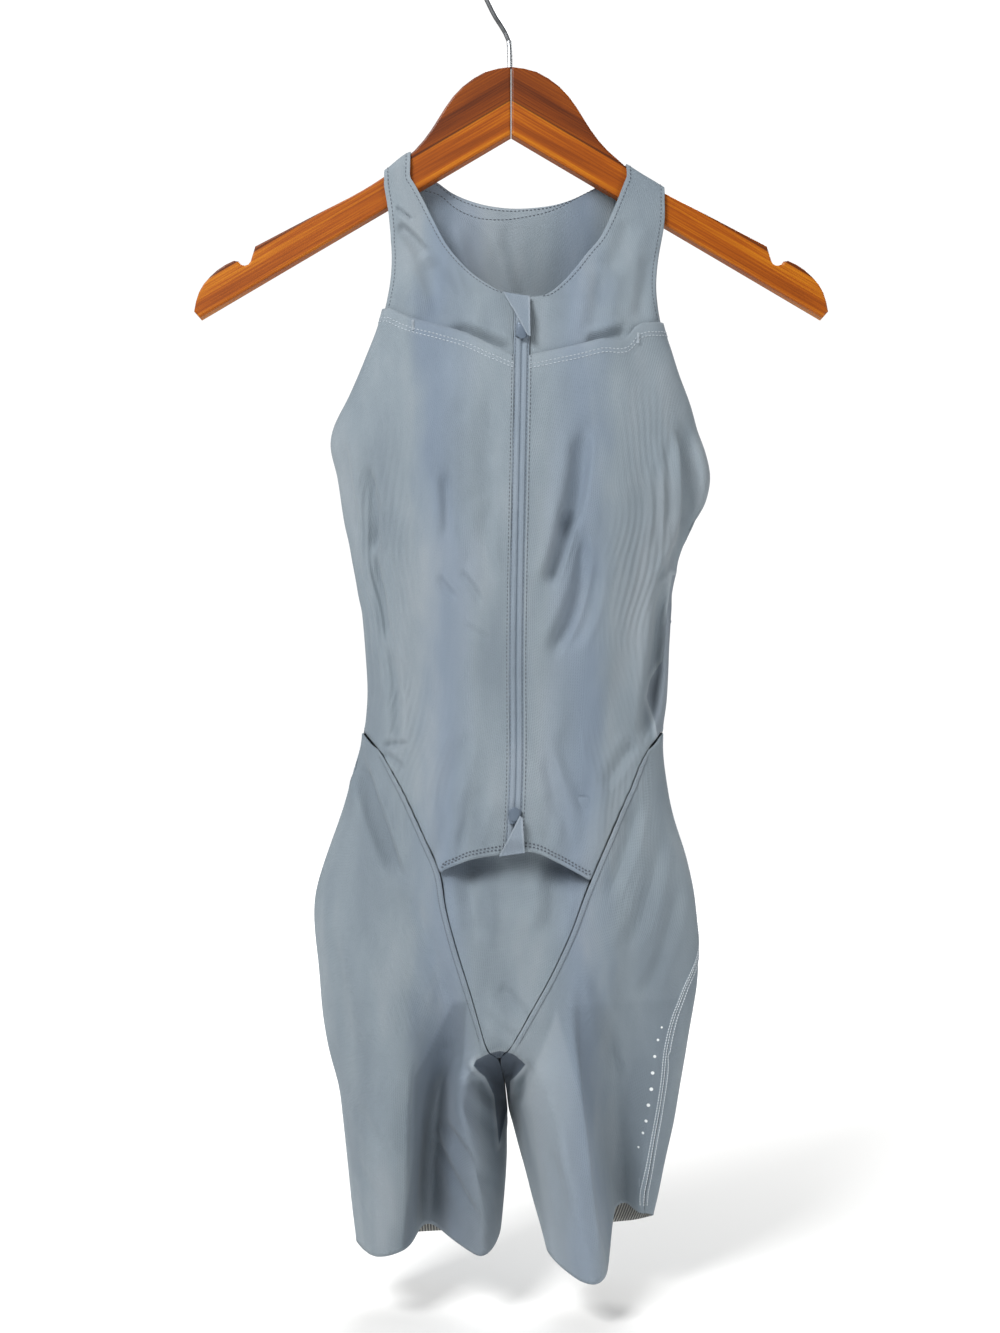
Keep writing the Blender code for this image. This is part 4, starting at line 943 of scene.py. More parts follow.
class Sheet:
    """A cut piece as a fine grid of points, [row from below, column from the left]."""

    def __init__(self, name, place, coarse, fine):
        self.name = name
        columns, rows = coarse
        rough = [[place(i / columns, j / rows) for i in range(columns + 1)]
                 for j in range(rows + 1)]
        down, across = smooth_weights(rows, fine[1]), smooth_weights(columns, fine[0])
        self.points = np.einsum("rj,jin,ci->rcn", down, np.array(rough), across)
        self.walk_u, self.walk_v = lengths(self.points, 1), lengths(self.points, 0)
        self.pale = np.zeros(self.walk_u.shape)
        self.inside = np.full(self.walk_u.shape, FAR_OUT)

    def view(self):
        """x and z of each point, its place in front view."""
        return self.points[:, :, 0], self.points[:, :, 2]

    def from_edge(self, edge):
        """The distance of each grid point from one edge."""
        if edge == "left":
            return self.walk_u
        if edge == "right":
            return self.walk_u[:, -1:] - self.walk_u
        if edge == "bottom":
            return self.walk_v
        return self.walk_v[-1:] - self.walk_v

    def along_edge(self, edge):
        """The share, 0 to 1, of each grid point along an edge."""
        rows, columns = self.walk_u.shape
        if edge in ("left", "right"):
            return np.linspace(0, 1, rows)[:, None] * np.ones(columns)
        return np.linspace(0, 1, columns)[None, :] * np.ones((rows, 1))

    def push(self, height):
        self.points = self.points + normals_of(self.points) * height[:, :, None]

    def crease(self, creases, facing=0):
        """Presses creases in, on all of the piece or on what faces front (-1) or back (1)."""
        depth = sum(crease_depth(*self.view(), crease) for crease in creases)
        if facing:
            depth = depth * np.clip(normals_of(self.points)[:, :, 1] * facing * FACING, 0, 1)
        self.push(-depth)

    def hollow(self, hollows):
        """Dents the piece straight back, with a clear rim and painted shade inside."""
        x, z = self.view()
        for spot in hollows:
            away = ((x - spot.middle[0]) / spot.reach[0]) ** 2
            away += ((z - spot.middle[1]) / spot.reach[1]) ** 2
            inside = np.exp(-away ** spot.rim)
            self.points[:, :, 1] += spot.depth * inside
            self.pale = np.minimum(self.pale, -spot.shade * inside)

    def tone(self, tones):
        """Paints light and shade into the cloth's colour: paler or darker inside outlines."""
        for tone in tones:
            far = inside_outline(*self.view(), tone.outline)
            self.pale = self.pale + tone.pale * np.clip(far / tone.soft, 0, 1)

    def sink(self, outline, depth, lip, clear=9.0):
        """Sinks what lies inside an outline, with a lip round it, and keeps how far inside
        each point is, for the material, which paints shade inside the outline and a highlight on
        the lip."""
        far = inside_outline(*self.view(), outline)
        slope = np.clip(far / SINK_RUN, 0, 1)
        self.points[:, :, 1] += depth * slope * (2 - slope)
        self.push(lip * np.exp(-((far + LIP_AT) / LIP_WIDTH) ** 2))
        self.inside = np.maximum(self.inside, np.minimum(far, clear))

    def close(self, edge, gap, low, high):
        """Brings an edge nearer to its twin across a gap that is given by height."""
        near = np.exp(-(self.from_edge(edge) / CLOSE_REACH) ** 2)
        z = self.points[:, :, 2]
        part = np.clip((z - low) / CLOSE_LOW, 0, 1) * np.clip((high - z) / CLOSE_HIGH, 0, 1)
        way = CLOSE_SHARE if edge == "right" else -CLOSE_SHARE
        self.points[:, :, 0] += way * gap(z) * near * part

    def raise_corner(self, edge, reach, rise, out):
        """Lifts the top edge's outer end over the piece above it, as a small tuck."""
        away = (self.from_edge(edge) - reach / 2) / (reach / 3)
        near = np.exp(-away ** 2) * np.clip(1 - self.from_edge("top") / TUCK_HEIGHT, 0, 1) ** 2
        self.points[:, :, 2] += rise * near
        self.push(out * near)

    def ripple(self):
        x, z = self.view()
        self.push(sum(ripple_height(x, z, ripple) for ripple in RIPPLES) + soft_waves(x, z))

    def bands(self, bands):
        height = np.zeros(self.pale.shape)
        for band in bands:
            away, share = self.from_edge(band.edge), self.along_edge(band.edge)
            inside = 1.0
            if band.start > 0:
                inside = np.clip((away - band.start) / BAND_STEP + 0.5, 0, 1)
            inside = inside * np.clip((band.end - away) / BAND_STEP + 0.5, 0, 1)
            inside = inside * np.clip((share - band.share[0]) / BAND_END + 0.5, 0, 1)
            inside = inside * np.clip((band.share[1] - share) / BAND_END + 0.5, 0, 1)
            height += inside * band.lift
            # a painted highlight along the raised band
            self.pale += inside * band.pale
        self.push(height)

    def line(self, edge, offset, share=(0.0, 1.0), lift=0.0):
        """Points and normals on the sheet along an edge, at an offset from it."""
        normal = normals_of(self.points)
        away = self.from_edge(edge)
        if edge in ("left", "right"):
            stack = zip(away, self.points, normal)
        else:
            stack = zip(away.T, self.points.transpose(1, 0, 2), normal.transpose(1, 0, 2))
        found = []
        for gap, points, normals in stack:
            if gap[0] > gap[-1]:
                gap, points, normals = gap[::-1], points[::-1], normals[::-1]
            found.append([np.interp(offset, gap, column)
                          for column in (*points.T, *normals.T)])
        found = np.array(found)
        first, last = (round(s * (len(found) - 1)) for s in share)
        found = found[first:last + 1]
        return found[:, :3] + lift * found[:, 3:], found[:, 3:]

    def build(self, material, wall):
        """The mesh: a grid primitive whose points are moved, with its map, tones and wall."""
        rows, columns = self.pale.shape
        deselect()
        bpy.ops.mesh.primitive_grid_add(x_subdivisions=columns - 1, y_subdivisions=rows - 1)
        piece = bpy.context.object
        piece.name = self.name
        piece.data.name = self.name
        piece.data.vertices.foreach_set("co", (self.points.reshape(-1, 3) * MM).ravel())
        corner = np.empty(len(piece.data.loops), dtype=int)
        piece.data.loops.foreach_get("vertex_index", corner)
        middle = self.walk_u[:, [columns // 2]]
        flat = np.stack([self.walk_u - middle, self.walk_v], axis=2).reshape(-1, 2)
        layer = piece.data.uv_layers[0]
        layer.name = "cut"
        layer.data.foreach_set("uv", flat[corner].ravel())
        for key, values in (("pale", self.pale), ("inside", self.inside)):
            attribute = piece.data.attributes.new(key, "FLOAT", "POINT")
            attribute.data.foreach_set("value", values.ravel())
        piece.data.update()
        piece.data.materials.append(material)
        piece.data.shade_smooth()
        apply_modifier(piece, "SOLIDIFY", thickness=wall * MM, offset=-1.0)
        return piece


def deselect():
    for thing in bpy.context.selected_objects:
        thing.select_set(False)


def apply_modifier(piece, kind, **settings):
    modifier = piece.modifiers.new(kind.lower(), kind)
    for key, value in settings.items():
        setattr(modifier, key, value)
    bpy.context.view_layer.objects.active = piece
    bpy.ops.object.modifier_apply(modifier=modifier.name)


def flatten(piece):
    """Puts a piece's place into its mesh."""
    deselect()
    piece.select_set(True)
    bpy.context.view_layer.objects.active = piece
    bpy.ops.object.transform_apply(location=True, rotation=True, scale=True)


# ------------------------------------------------------------------------------------ sewing

STITCH_LIFT = 0.12          # from the cloth to a stitch's middle
STITCH_FLAT = 0.8           # a stitch's height as a share of its width


def walk(points, normals, pitch):
    """Evenly spaced places along a line, with the line's run and the cloth's normal there."""
    step = np.linalg.norm(np.diff(points, axis=0), axis=1)
    far = np.concatenate([[0], np.cumsum(step)])
    count = max(1, int(far[-1] / pitch))
    at = (np.arange(count) + 0.5) * far[-1] / count

    def read(table, places):
        return np.stack([np.interp(places, far, column) for column in table.T], axis=1)

    run = read(points, at + 0.3 * pitch) - read(points, at - 0.3 * pitch)
    run /= np.maximum(np.linalg.norm(run, axis=1, keepdims=True), 1e-9)
    normal = read(normals, at)
    normal -= run * np.sum(run * normal, axis=1, keepdims=True)
    normal /= np.maximum(np.linalg.norm(normal, axis=1, keepdims=True), 1e-9)
    return read(points, at), run, normal


def stitch_shape():
    """One stitch: a small six-sided bead with drawn-in ends, along X."""
    deselect()
    bpy.ops.mesh.primitive_uv_sphere_add(segments=6, ring_count=4, radius=1)
    bead = bpy.context.object
    bpy.ops.object.mode_set(mode="EDIT")
    bpy.ops.mesh.select_all(action="SELECT")
    bpy.ops.transform.rotate(value=math.pi / 2, orient_axis="Y", center_override=(0, 0, 0))
    bpy.ops.object.mode_set(mode="OBJECT")
    vertices = np.array([vertex.co[:] for vertex in bead.data.vertices])
    faces = [tuple(face.vertices) for face in bead.data.polygons]
    bpy.data.objects.remove(bead)
    return vertices, faces


def stitches(name, lines, pitch, length, width, material, slot="cloth", across=False, turn=0.0):
    """Rows of stitches as one piece; across lays each stitch square to its line."""
    vertices, faces = STITCH
    all_points, all_faces = [], []
    for points, normals in lines:
        place, run, normal = walk(points, normals, pitch)
        side = np.cross(normal, run)
        if across:
            run, side = side, -run
        if turn:
            run, side = (run * math.cos(turn) + side * math.sin(turn),
                         side * math.cos(turn) - run * math.sin(turn))
        for n in range(len(place)):
            base = len(all_points) * len(vertices)
            shape = (place[n] + normal[n] * STITCH_LIFT
                     + np.outer(vertices[:, 0] * length / 2, run[n])
                     + np.outer(vertices[:, 1] * width / 2, side[n])
                     + np.outer(vertices[:, 2] * width / 2 * STITCH_FLAT, normal[n]))
            all_points.append(shape)
            all_faces += [tuple(base + index for index in face) for face in faces]
    mesh = bpy.data.meshes.new(name)
    mesh.from_pydata((np.concatenate(all_points) * MM).tolist(), [], all_faces)
    mesh.shade_smooth()
    mesh.materials.append(material)
    piece = bpy.data.objects.new(name, mesh)
    bpy.context.scene.collection.objects.link(piece)
    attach(piece, "root")
    return piece


# --------------------------------------------------------------------------------- materials

def linear(hex_colour):
    """An sRGB colour as linear light."""
    parts = [int(hex_colour[n:n + 2], 16) / 255 for n in (0, 2, 4)]
    return (*(p / 12.92 if p <= 0.04045 else ((p + 0.055) / 1.055) ** 2.4 for p in parts), 1.0)


def add(tree, kind, links=(), inputs=(), **settings):
    """Adds a node with its settings, its fixed inputs and its links."""
    node = tree.nodes.new("ShaderNode" + kind)
    for key, value in settings.items():
        setattr(node, key, value)
    for key, value in dict(inputs).items():
        node.inputs[key].default_value = value
    for key, source in dict(links).items():
        tree.links.new(source, node.inputs[key])
    return node


def new_material(name, colour, roughness, **sockets):
    material = bpy.data.materials.new(name)
    material.use_nodes = True
    shader = material.node_tree.nodes["Principled BSDF"]
    shader.inputs["Base Color"].default_value = linear(colour)
    shader.inputs["Roughness"].default_value = roughness
    for key, value in sockets.items():
        shader.inputs[key.replace("_", " ")].default_value = value
    return material, material.node_tree, shader


def ramp(tree, source, stops):
    """A colour ramp from (place, hex colour) stops."""
    node = add(tree, "ValToRGB", {"Fac": source})
    for n, (place, colour) in enumerate(stops):
        if n > 1:
            node.color_ramp.elements.new(place)
        node.color_ramp.elements[n].position = place
        node.color_ramp.elements[n].color = linear(colour)
    return node.outputs["Color"]


def fine_grain(tree, shader, scale, detail, strength, distance):
    """Roughens a surface with even noise of a height in metres, and gives the place it reads."""
    where = add(tree, "TexCoord").outputs["Object"]
    noise = add(tree, "TexNoise", {"Vector": where}, {"Scale": scale, "Detail": detail})
    bump = add(tree, "Bump", {"Height": noise.outputs[0]},
               {"Strength": strength, "Distance": distance})
    tree.links.new(bump.outputs[0], shader.inputs["Normal"])
    return where


def uneven_gloss(tree, shader, scale, detail, low, high):
    """Varies a surface's roughness between two values."""
    where = add(tree, "TexCoord").outputs["Object"]
    noise = add(tree, "TexNoise", {"Vector": where}, {"Scale": scale, "Detail": detail})
    rough = add(tree, "MapRange", {"Value": noise.outputs[0]}, {"To Min": low, "To Max": high})
    tree.links.new(rough.outputs[0], shader.inputs["Roughness"])


def compressive_knit(name, low, mid, high, cool_colour, pale_colour):
    """Warp-knitted nylon and elastane with a matt, slightly napped face: it gives the eye soft
    cloudy tones, faint upright wales and no gloss. Real wales lie 0.5 mm apart; they are drawn
    1.3 mm apart so that they show."""
    material, tree, shader = new_material(name, mid, 0.86, Sheen_Weight=0.22,
                                          Sheen_Roughness=0.5, Specular_IOR_Level=0.25)
    shader.inputs["Sheen Tint"].default_value = linear("CBD2D8")
    where = add(tree, "TexCoord").outputs["Object"]
    cut = add(tree, "UVMap", uv_map="cut").outputs["UV"]
    pale = add(tree, "Attribute", attribute_name="pale").outputs["Fac"]
    inside = add(tree, "Attribute", attribute_name="inside").outputs["Fac"]
    stretched = add(tree, "Mapping", {"Vector": where}, {"Scale": (1.0, 1.0, 0.28)}).outputs[0]
    clouds = add(tree, "TexNoise", {"Vector": stretched},
                 {"Scale": 26.0, "Detail": 3.0, "Roughness": 0.55}).outputs[0]
    tone = ramp(tree, clouds, [(0.34, low), (0.5, mid), (0.68, high)])
    speckle = add(tree, "TexNoise", {"Vector": cut}, {"Scale": 1.6, "Detail": 2.0}).outputs[0]
    fleck = add(tree, "MapRange", {"Value": speckle},
                {"From Min": 0.3, "From Max": 0.7, "To Min": 0.90, "To Max": 1.10}).outputs[0]
    drawn = add(tree, "VectorMath", {0: tone, 1: fleck}, operation="MULTIPLY").outputs[0]

    # A cooler band down each side of the body, which wanders with the clouds
    axes = add(tree, "SeparateXYZ", {"Vector": where})
    aside = add(tree, "Math", {0: axes.outputs[0]}, operation="ABSOLUTE").outputs[0]
    off_band = add(tree, "Math", {0: aside}, {1: 0.072}, operation="SUBTRACT").outputs[0]
    swing = add(tree, "Math", {0: clouds}, {1: 0.05}, operation="MULTIPLY").outputs[0]
    off_wave = add(tree, "Math", {0: off_band, 1: swing}, operation="ADD").outputs[0]
    far = add(tree, "Math", {0: off_wave}, operation="ABSOLUTE").outputs[0]
    cool = add(tree, "MapRange", {"Value": far},
               {"From Min": 0.004, "From Max": 0.024, "To Min": 0.36, "To Max": 0.0}).outputs[0]

    # Painted shade where the pale attribute is below 0, and a sunk place's painted highlight on
    # its lip and painted shade inside it
    dark = add(tree, "Math", {0: pale}, {1: -1.0}, operation="MULTIPLY", use_clamp=True)
    lip = add(tree, "MapRange", {"Value": inside},
              {"From Min": -3.6, "From Max": -0.6, "To Max": 0.4}).outputs[0]
    sunk_shade = add(tree, "MapRange", {"Value": inside},
                    {"From Min": -0.3, "From Max": 0.3, "To Max": 0.86}).outputs[0]
    # Mixed in turn: painted light and the bands' painted highlight where pale is above 0, the
    # cooler side bands, painted shade where pale is below 0, the lip's painted highlight and a
    # sunk place's painted shade
    for share, colour in ((pale, pale_colour), (cool, cool_colour), (dark.outputs[0], "323C49"),
                          (lip, pale_colour), (sunk_shade, "3A4656")):
        drawn = add(tree, "Mix", {"Factor": share, 6: drawn}, {7: linear(colour)},
                    data_type="RGBA").outputs[2]
    tree.links.new(drawn, shader.inputs["Base Color"])

    wales = add(tree, "TexWave", {"Vector": cut},
                {"Scale": 0.24, "Distortion": 1.2, "Detail": 2.0, "Detail Scale": 0.5},
                wave_type="BANDS", bands_direction="X").outputs[1]
    courses = add(tree, "TexWave", {"Vector": cut},
                  {"Scale": 0.30, "Distortion": 0.6, "Detail": 1.0},
                  wave_type="BANDS", bands_direction="Y").outputs[1]
    knit = add(tree, "Math", {0: wales, 1: courses}, operation="ADD").outputs[0]
    relief = add(tree, "Math", {0: knit, 1: speckle}, operation="ADD").outputs[0]
    bump = add(tree, "Bump", {"Height": relief}, {"Strength": 0.35, "Distance": 0.0005})
    tree.links.new(bump.outputs[0], shader.inputs["Normal"])
    return material


def ribbed_elastic():
    """Woven elastic with dark rubber between pale covered ribs, 2.2 mm apart."""
    material, tree, shader = new_material("ribbed_elastic", "6B6B66", 0.8, Sheen_Weight=0.1)
    cut = add(tree, "UVMap", uv_map="cut").outputs["UV"]
    ribs = add(tree, "TexWave", {"Vector": cut}, {"Scale": 0.14, "Distortion": 0.2},
               wave_type="BANDS", bands_direction="X").outputs[1]
    tree.links.new(ramp(tree, ribs, [(0.3, "4E5052"), (0.7, "A8A8A2")]),
                   shader.inputs["Base Color"])
    bump = add(tree, "Bump", {"Height": ribs}, {"Strength": 0.8, "Distance": 0.0006})
    tree.links.new(bump.outputs[0], shader.inputs["Normal"])
    return material


def sewing_thread(name, colour):
    """Textured polyester thread: a soft sheen on each stitch, a shade off the cloth."""
    material, tree, shader = new_material(name, colour, 0.55, Sheen_Weight=0.3)
    fine_grain(tree, shader, 900.0, 1.0, 0.4, 0.0002)
    return material


def enamelled_zinc():
    """Die-cast zinc with a satin blue-grey enamel: even colour with soft highlights."""
    material, tree, shader = new_material("enamelled_zinc", "5E6B7A", 0.38, Metallic=0.25)
    uneven_gloss(tree, shader, 700.0, 2.0, 0.3, 0.5)
    return material


def laminated_bamboo():
    """Caramelised bamboo strips, pressed edge on and clear varnished: long fine fibres, dark
    glue lines between the strips and at the mitre, and a faint gloss."""
    material, tree, shader = new_material("laminated_bamboo", "B56A1E", 0.45, Coat_Weight=0.06,
                                          Specular_IOR_Level=0.2, Coat_Roughness=0.12)
    where = add(tree, "TexCoord").outputs["Object"]
    axes = add(tree, "SeparateXYZ", {"Vector": where})
    aside = add(tree, "Math", {0: axes.outputs[0]}, operation="ABSOLUTE").outputs[0]

    # The place square to the underside and along it, so that the fibres run down each arm
    fall = add(tree, "Math", {0: aside}, {1: -UNDERSIDE_SLOPE}, operation="MULTIPLY").outputs[0]
    rise = add(tree, "Math", {0: axes.outputs[2], 1: fall}, operation="ADD").outputs[0]
    height = add(tree, "Math", {0: rise}, {1: -UNDERSIDE_TOP * MM}, operation="ADD").outputs[0]
    square = add(tree, "Math", {0: height}, {1: UNDERSIDE_COSINE},
                 operation="MULTIPLY").outputs[0]
    length = add(tree, "Math", {0: aside}, {1: UNDERSIDE_RUN}, operation="MULTIPLY").outputs[0]
    place = add(tree, "CombineXYZ", {0: length, 1: square, 2: axes.outputs[1]}).outputs[0]
    long_way = add(tree, "Mapping", {"Vector": place}, {"Scale": (14.0, 900.0, 700.0)})
    fibre = add(tree, "TexNoise", {"Vector": long_way.outputs[0]},
                {"Scale": 1.0, "Detail": 4.0, "Roughness": 0.6}).outputs[0]
    broad = add(tree, "Mapping", {"Vector": place}, {"Scale": (6.0, 170.0, 120.0)})
    figure = add(tree, "TexNoise", {"Vector": broad.outputs[0]},
                 {"Scale": 1.0, "Detail": 2.0}).outputs[0]
    both = add(tree, "Math", {0: fibre, 1: figure}, operation="ADD").outputs[0]
    half = add(tree, "Math", {0: both}, {1: 0.5}, operation="MULTIPLY").outputs[0]
    light = ramp(tree, half, [(0.34, "6C2E00"), (0.5, "924700"), (0.66, "B46C08")])
    dark = ramp(tree, half, [(0.34, "4A1C00"), (0.5, "6A2E00"), (0.66, "824002")])

    # A darker strip above the glue line, and the dark lines there and at the mitre
    glue = GLUE_LINE * MM
    upper = add(tree, "MapRange", {"Value": square},
                {"From Min": glue - 0.0003, "From Max": glue + 0.0003}).outputs[0]
    strips = add(tree, "Mix", {"Factor": upper, 6: light, 7: dark}, data_type="RGBA").outputs[2]
    off_line = add(tree, "Math", {0: square}, {1: glue}, operation="SUBTRACT").outputs[0]
    near = add(tree, "Math", {0: off_line}, operation="ABSOLUTE").outputs[0]
    seam = add(tree, "MapRange", {"Value": near},
               {"From Min": 0.0003, "From Max": 0.0009, "To Min": 0.45, "To Max": 1.0}).outputs[0]
    mitre = add(tree, "MapRange", {"Value": aside},
                {"From Min": 0.0003, "From Max": 0.0011, "To Min": 0.4, "To Max": 1.0}).outputs[0]
    lines = add(tree, "Math", {0: seam, 1: mitre}, operation="MULTIPLY").outputs[0]
    drawn = add(tree, "VectorMath", {0: strips, 1: lines}, operation="MULTIPLY").outputs[0]
    tree.links.new(drawn, shader.inputs["Base Color"])
    bump = add(tree, "Bump", {"Height": fibre}, {"Strength": 0.12, "Distance": 0.0003})
    tree.links.new(bump.outputs[0], shader.inputs["Normal"])
    return material


def plated_wire():
    """Drawn steel wire with a thin bright plating: sharp streaks, a little dulled."""
    material, tree, shader = new_material("plated_wire", "8A8D90", 0.25, Metallic=1.0)
    uneven_gloss(tree, shader, 260.0, 3.0, 0.16, 0.36)
    return material


def reflective_print():
    """Glass-bead ink in small dots: whitish silver, finely grained."""
    material, tree, shader = new_material("reflective_print", "E4E8EA", 0.4, Metallic=0.2)
    fine_grain(tree, shader, 2500.0, 2.0, 0.3, 0.0001)
    return material


def studio_card(name, colour):
    """Matt painted card that glows to white in the distance, painted light that only the camera
    sees: flat, pale and faintly grained.
    """
    material, tree, shader = new_material(name, colour, 0.95, Specular_IOR_Level=0.1)
    where = fine_grain(tree, shader, 40.0, 2.0, 0.03, 0.001)
    seen = add(tree, "LightPath").outputs["Is Camera Ray"]
    far = add(tree, "VectorMath", {0: where}, operation="LENGTH").outputs["Value"]
    glow = add(tree, "MapRange", {"Value": far},
               {"From Min": 0.9, "From Max": 2.4, "To Min": 0.0, "To Max": 0.75}).outputs[0]
    shown = add(tree, "Math", {0: seen, 1: glow}, operation="MULTIPLY").outputs[0]
    shader.inputs["Emission Color"].default_value = linear("FFFFFF")
    tree.links.new(shown, shader.inputs["Emission Strength"])
    return material


KNIT = compressive_knit("compressive_knit", "737E87", "7D8890", "889198",
                        "6C7C94", "AEB7BF")
TAPE = compressive_knit("zip_tape_knit", "6C7883", "788490", "858F9A",
                        "75808C", "AEB7BF")
ELASTIC = ribbed_elastic()
THREAD = sewing_thread("pale_thread", "A3ADB6")
# Its dark colour is painted shade, the shadow of rows sunk into the cloth
SHADED_THREAD = sewing_thread("shaded_thread", "3E4854")
SEAM_THREAD = sewing_thread("seam_thread", "C2CAD0")
SELF_THREAD = sewing_thread("cloth_coloured_thread", "83909C")
STITCH = stitch_shape()

# ------------------------------------------------------------------------------- the garment

CLOTH_WALL = 1.0            # compressive knit, two layers at the hems
SIDES = ((-1, "left"), (1, "right"))
EDGES = {-1: ("right", "left"), 1: ("left", "right")}   # inner and outer edge of a piece
HEM_PART = {-1: (CORNER_COLUMN, 1), 1: (0, 1 - CORNER_COLUMN)}
# Shares of the pieces' edges that bands and stitches take
NECK_PART, ARMHOLE_PART, BACK_ARMHOLE_PART = (0.22, 1), (0.05, 1), (0.52, 1)
V_BAND, V_PART, OUTER_PART = (0.40, 0.985), (0.42, 0.985), (0.02, 1)
BACK_NECK_PART = (STRAP_SHARE + 0.01, 0.99 - STRAP_SHARE)
sheets = {}
sewing = {}


def sew(owner, name, lines, pitch=2.8, length=2.0, width=0.75, material=THREAD, **ways):
    """Rows of stitches that go with one sheet."""
    piece = stitches(name, lines, pitch, length, width, material, **ways)
    sewing.setdefault(owner, []).append(piece)


def make(name, place, coarse, fine, creases, facing, bands, hollows=()):
    """A cut piece with its creases, hollows, ripples and bands."""
    sheet = Sheet(name + "_cloth", place, coarse, fine)
    sheet.crease(creases, facing)
    sheet.hollow(hollows)
    sheet.ripple()
    sheet.bands(bands)
    sheets[name] = sheet


for side, hand in SIDES:
    inner, outer = EDGES[side]
    make("yoke_" + hand, turned(yoke_front, side, side), (16, 50), (64, 180), YOKE_CREASES, -1,
         [Band(inner, 0, 3.0, 0.14, 0.08, NECK_PART),
          Band(outer, 0, 3.0, 0.14, 0.08, ARMHOLE_PART)])
    make("body_" + hand, turned(body_front, side, side), (39, 44), (143, 132), FRONT_CREASES, 0,
         [Band("top", 0, 10.4, 0.38, 0.06, WHOLE),
          Band("bottom", 0, 7.0, 0.45, 0.08, HEM_PART[side]),
          Band("bottom", 3.0, 4.2, -0.3, 0, HEM_PART[side]),
          Band("bottom", 5.2, 6.4, -0.3, 0, HEM_PART[side]),
          Band(inner, 0, 1.6, 0.25, 0.1, WHOLE)])
    make("leg_front_" + hand, turned(leg_front, side, side), (44, 40), (132, 120),
         LEG_CREASES, -1, [Band(inner, 0, 3.6, 0.55, 0.10, V_BAND),
                           Band(outer, 0, 2.9, 0.35, 0.16, OUTER_PART),
                           Band("bottom", 0, 2.0, 0.20, 0.1, WHOLE)])
    make("leg_back_" + hand, turned(leg_back, side, -side), (30, 40), (90, 120),
         BACK_CREASES, 1, [Band(inner, 0, 2.6, 0.35, 0.16, OUTER_PART),
                           Band(outer, 0, 2.3, 0.25, 0.3, WHOLE),
                           Band("bottom", 0, 2.0, 0.20, 0.1, WHOLE),
                           Band("top", 0, 3.0, 0.30, 0.4, WHOLE)])
    make("grip_" + hand, turned(grip, side, side), (48, 4), (144, 10), LEG_CREASES, -1, [])
make("back_body", back_body, (44, 44), (132, 132), BACK_CREASES, 1,
     [Band("top", 0, 11.0, 0.25, 0.1, (STRAP_SHARE, 1 - STRAP_SHARE)),
      Band("bottom", 0, 3.0, 0.30, 0.4, WHOLE),
      Band("left", 0, 3.0, 0.25, 0.3, BACK_ARMHOLE_PART),
      Band("right", 0, 3.0, 0.25, 0.3, BACK_ARMHOLE_PART)])
sheets["leg_front_left"].raise_corner("left", 26.0, 4.5, 1.3)
sheets["leg_front_right"].raise_corner("right", 22.0, 3.0, 0.6)
make("crotch_panel", crotch_panel, (30, 28), (90, 84), CROTCH_CREASES, 0, [], PANEL_HOLLOWS)


def leg_gap():
    """The width of the gap between the two front legs, as a function of height. It follows the
    legs as they are moved, so the order in which they are closed counts."""
    left, right = sheets["leg_front_left"].points[:, -1], sheets["leg_front_right"].points[:, 0]

    def width(z):
        return np.maximum(np.interp(z, right[:, 2], right[:, 0])
                          - np.interp(z, left[:, 2], left[:, 0]), 0)
    return width


LEG_GAP = leg_gap()
GAP_LOW, GAP_HIGH = -829.0, -785.0      # heights between which that gap is brought nearer
for piece in ("leg_front_", "leg_back_"):
    for side, hand in SIDES:
        sheets[piece + hand].close(EDGES[side][0], LEG_GAP, GAP_LOW, GAP_HIGH)
# The arch and the waist's turned-in side get painted shade inside and a painted highlight on their
# lip, and these pieces their painted light and shade; at the waist the painted shade is held to
# about half
for name in ("leg_front_left", "leg_front_right", "crotch_panel"):
    sheets[name].sink(CROTCH_ARCH, 8.0, 0.5)
    sheets[name].tone(LEG_TONES)
sheets["body_right"].sink(WAIST_TURN, 2.5, 0.2, -0.02)


def zip_relief(strip):
    """Two covered lips that meet in a fine groove, with a turned edge outside each."""
    across = strip.from_edge("left") - strip.walk_u[:, -1:] / 2
    lips = 0.75 * np.exp(-((np.abs(across) - 2.2) / 1.5) ** 4)
    groove = -0.55 * np.exp(-(across / 0.35) ** 2)
    edges = -0.45 * np.exp(-((np.abs(across) - 4.3) / 0.35) ** 2)
    pucker = 0.10 * np.sin(strip.walk_v / 2.4 + 0.8 * np.sin(strip.walk_v / 17))
    sway = np.exp(-((np.abs(across) - 2.6) / 1.6) ** 2)
    strip.push(lips + groove + edges + pucker * sway)
    # The raised lips are painted paler, a painted highlight
    strip.pale = np.clip(lips, 0, 1) * 0.08


strip = Sheet("zip_cloth", zip_strip, (8, 88), (32, 352))
zip_relief(strip)
sheets["zip"] = strip

for name, edges in (("zip_guard_top", TOP_FLAP), ("zip_guard_end", END_FLAP)):
    guard = Sheet(name + "_cloth", functools.partial(flap, *edges), (10, 20), (30, 60))
    guard.bands([Band(edge, 0, 1.3, 0.25, 0.2, WHOLE) for edge in ("left", "right")])
    sheets[name] = guard

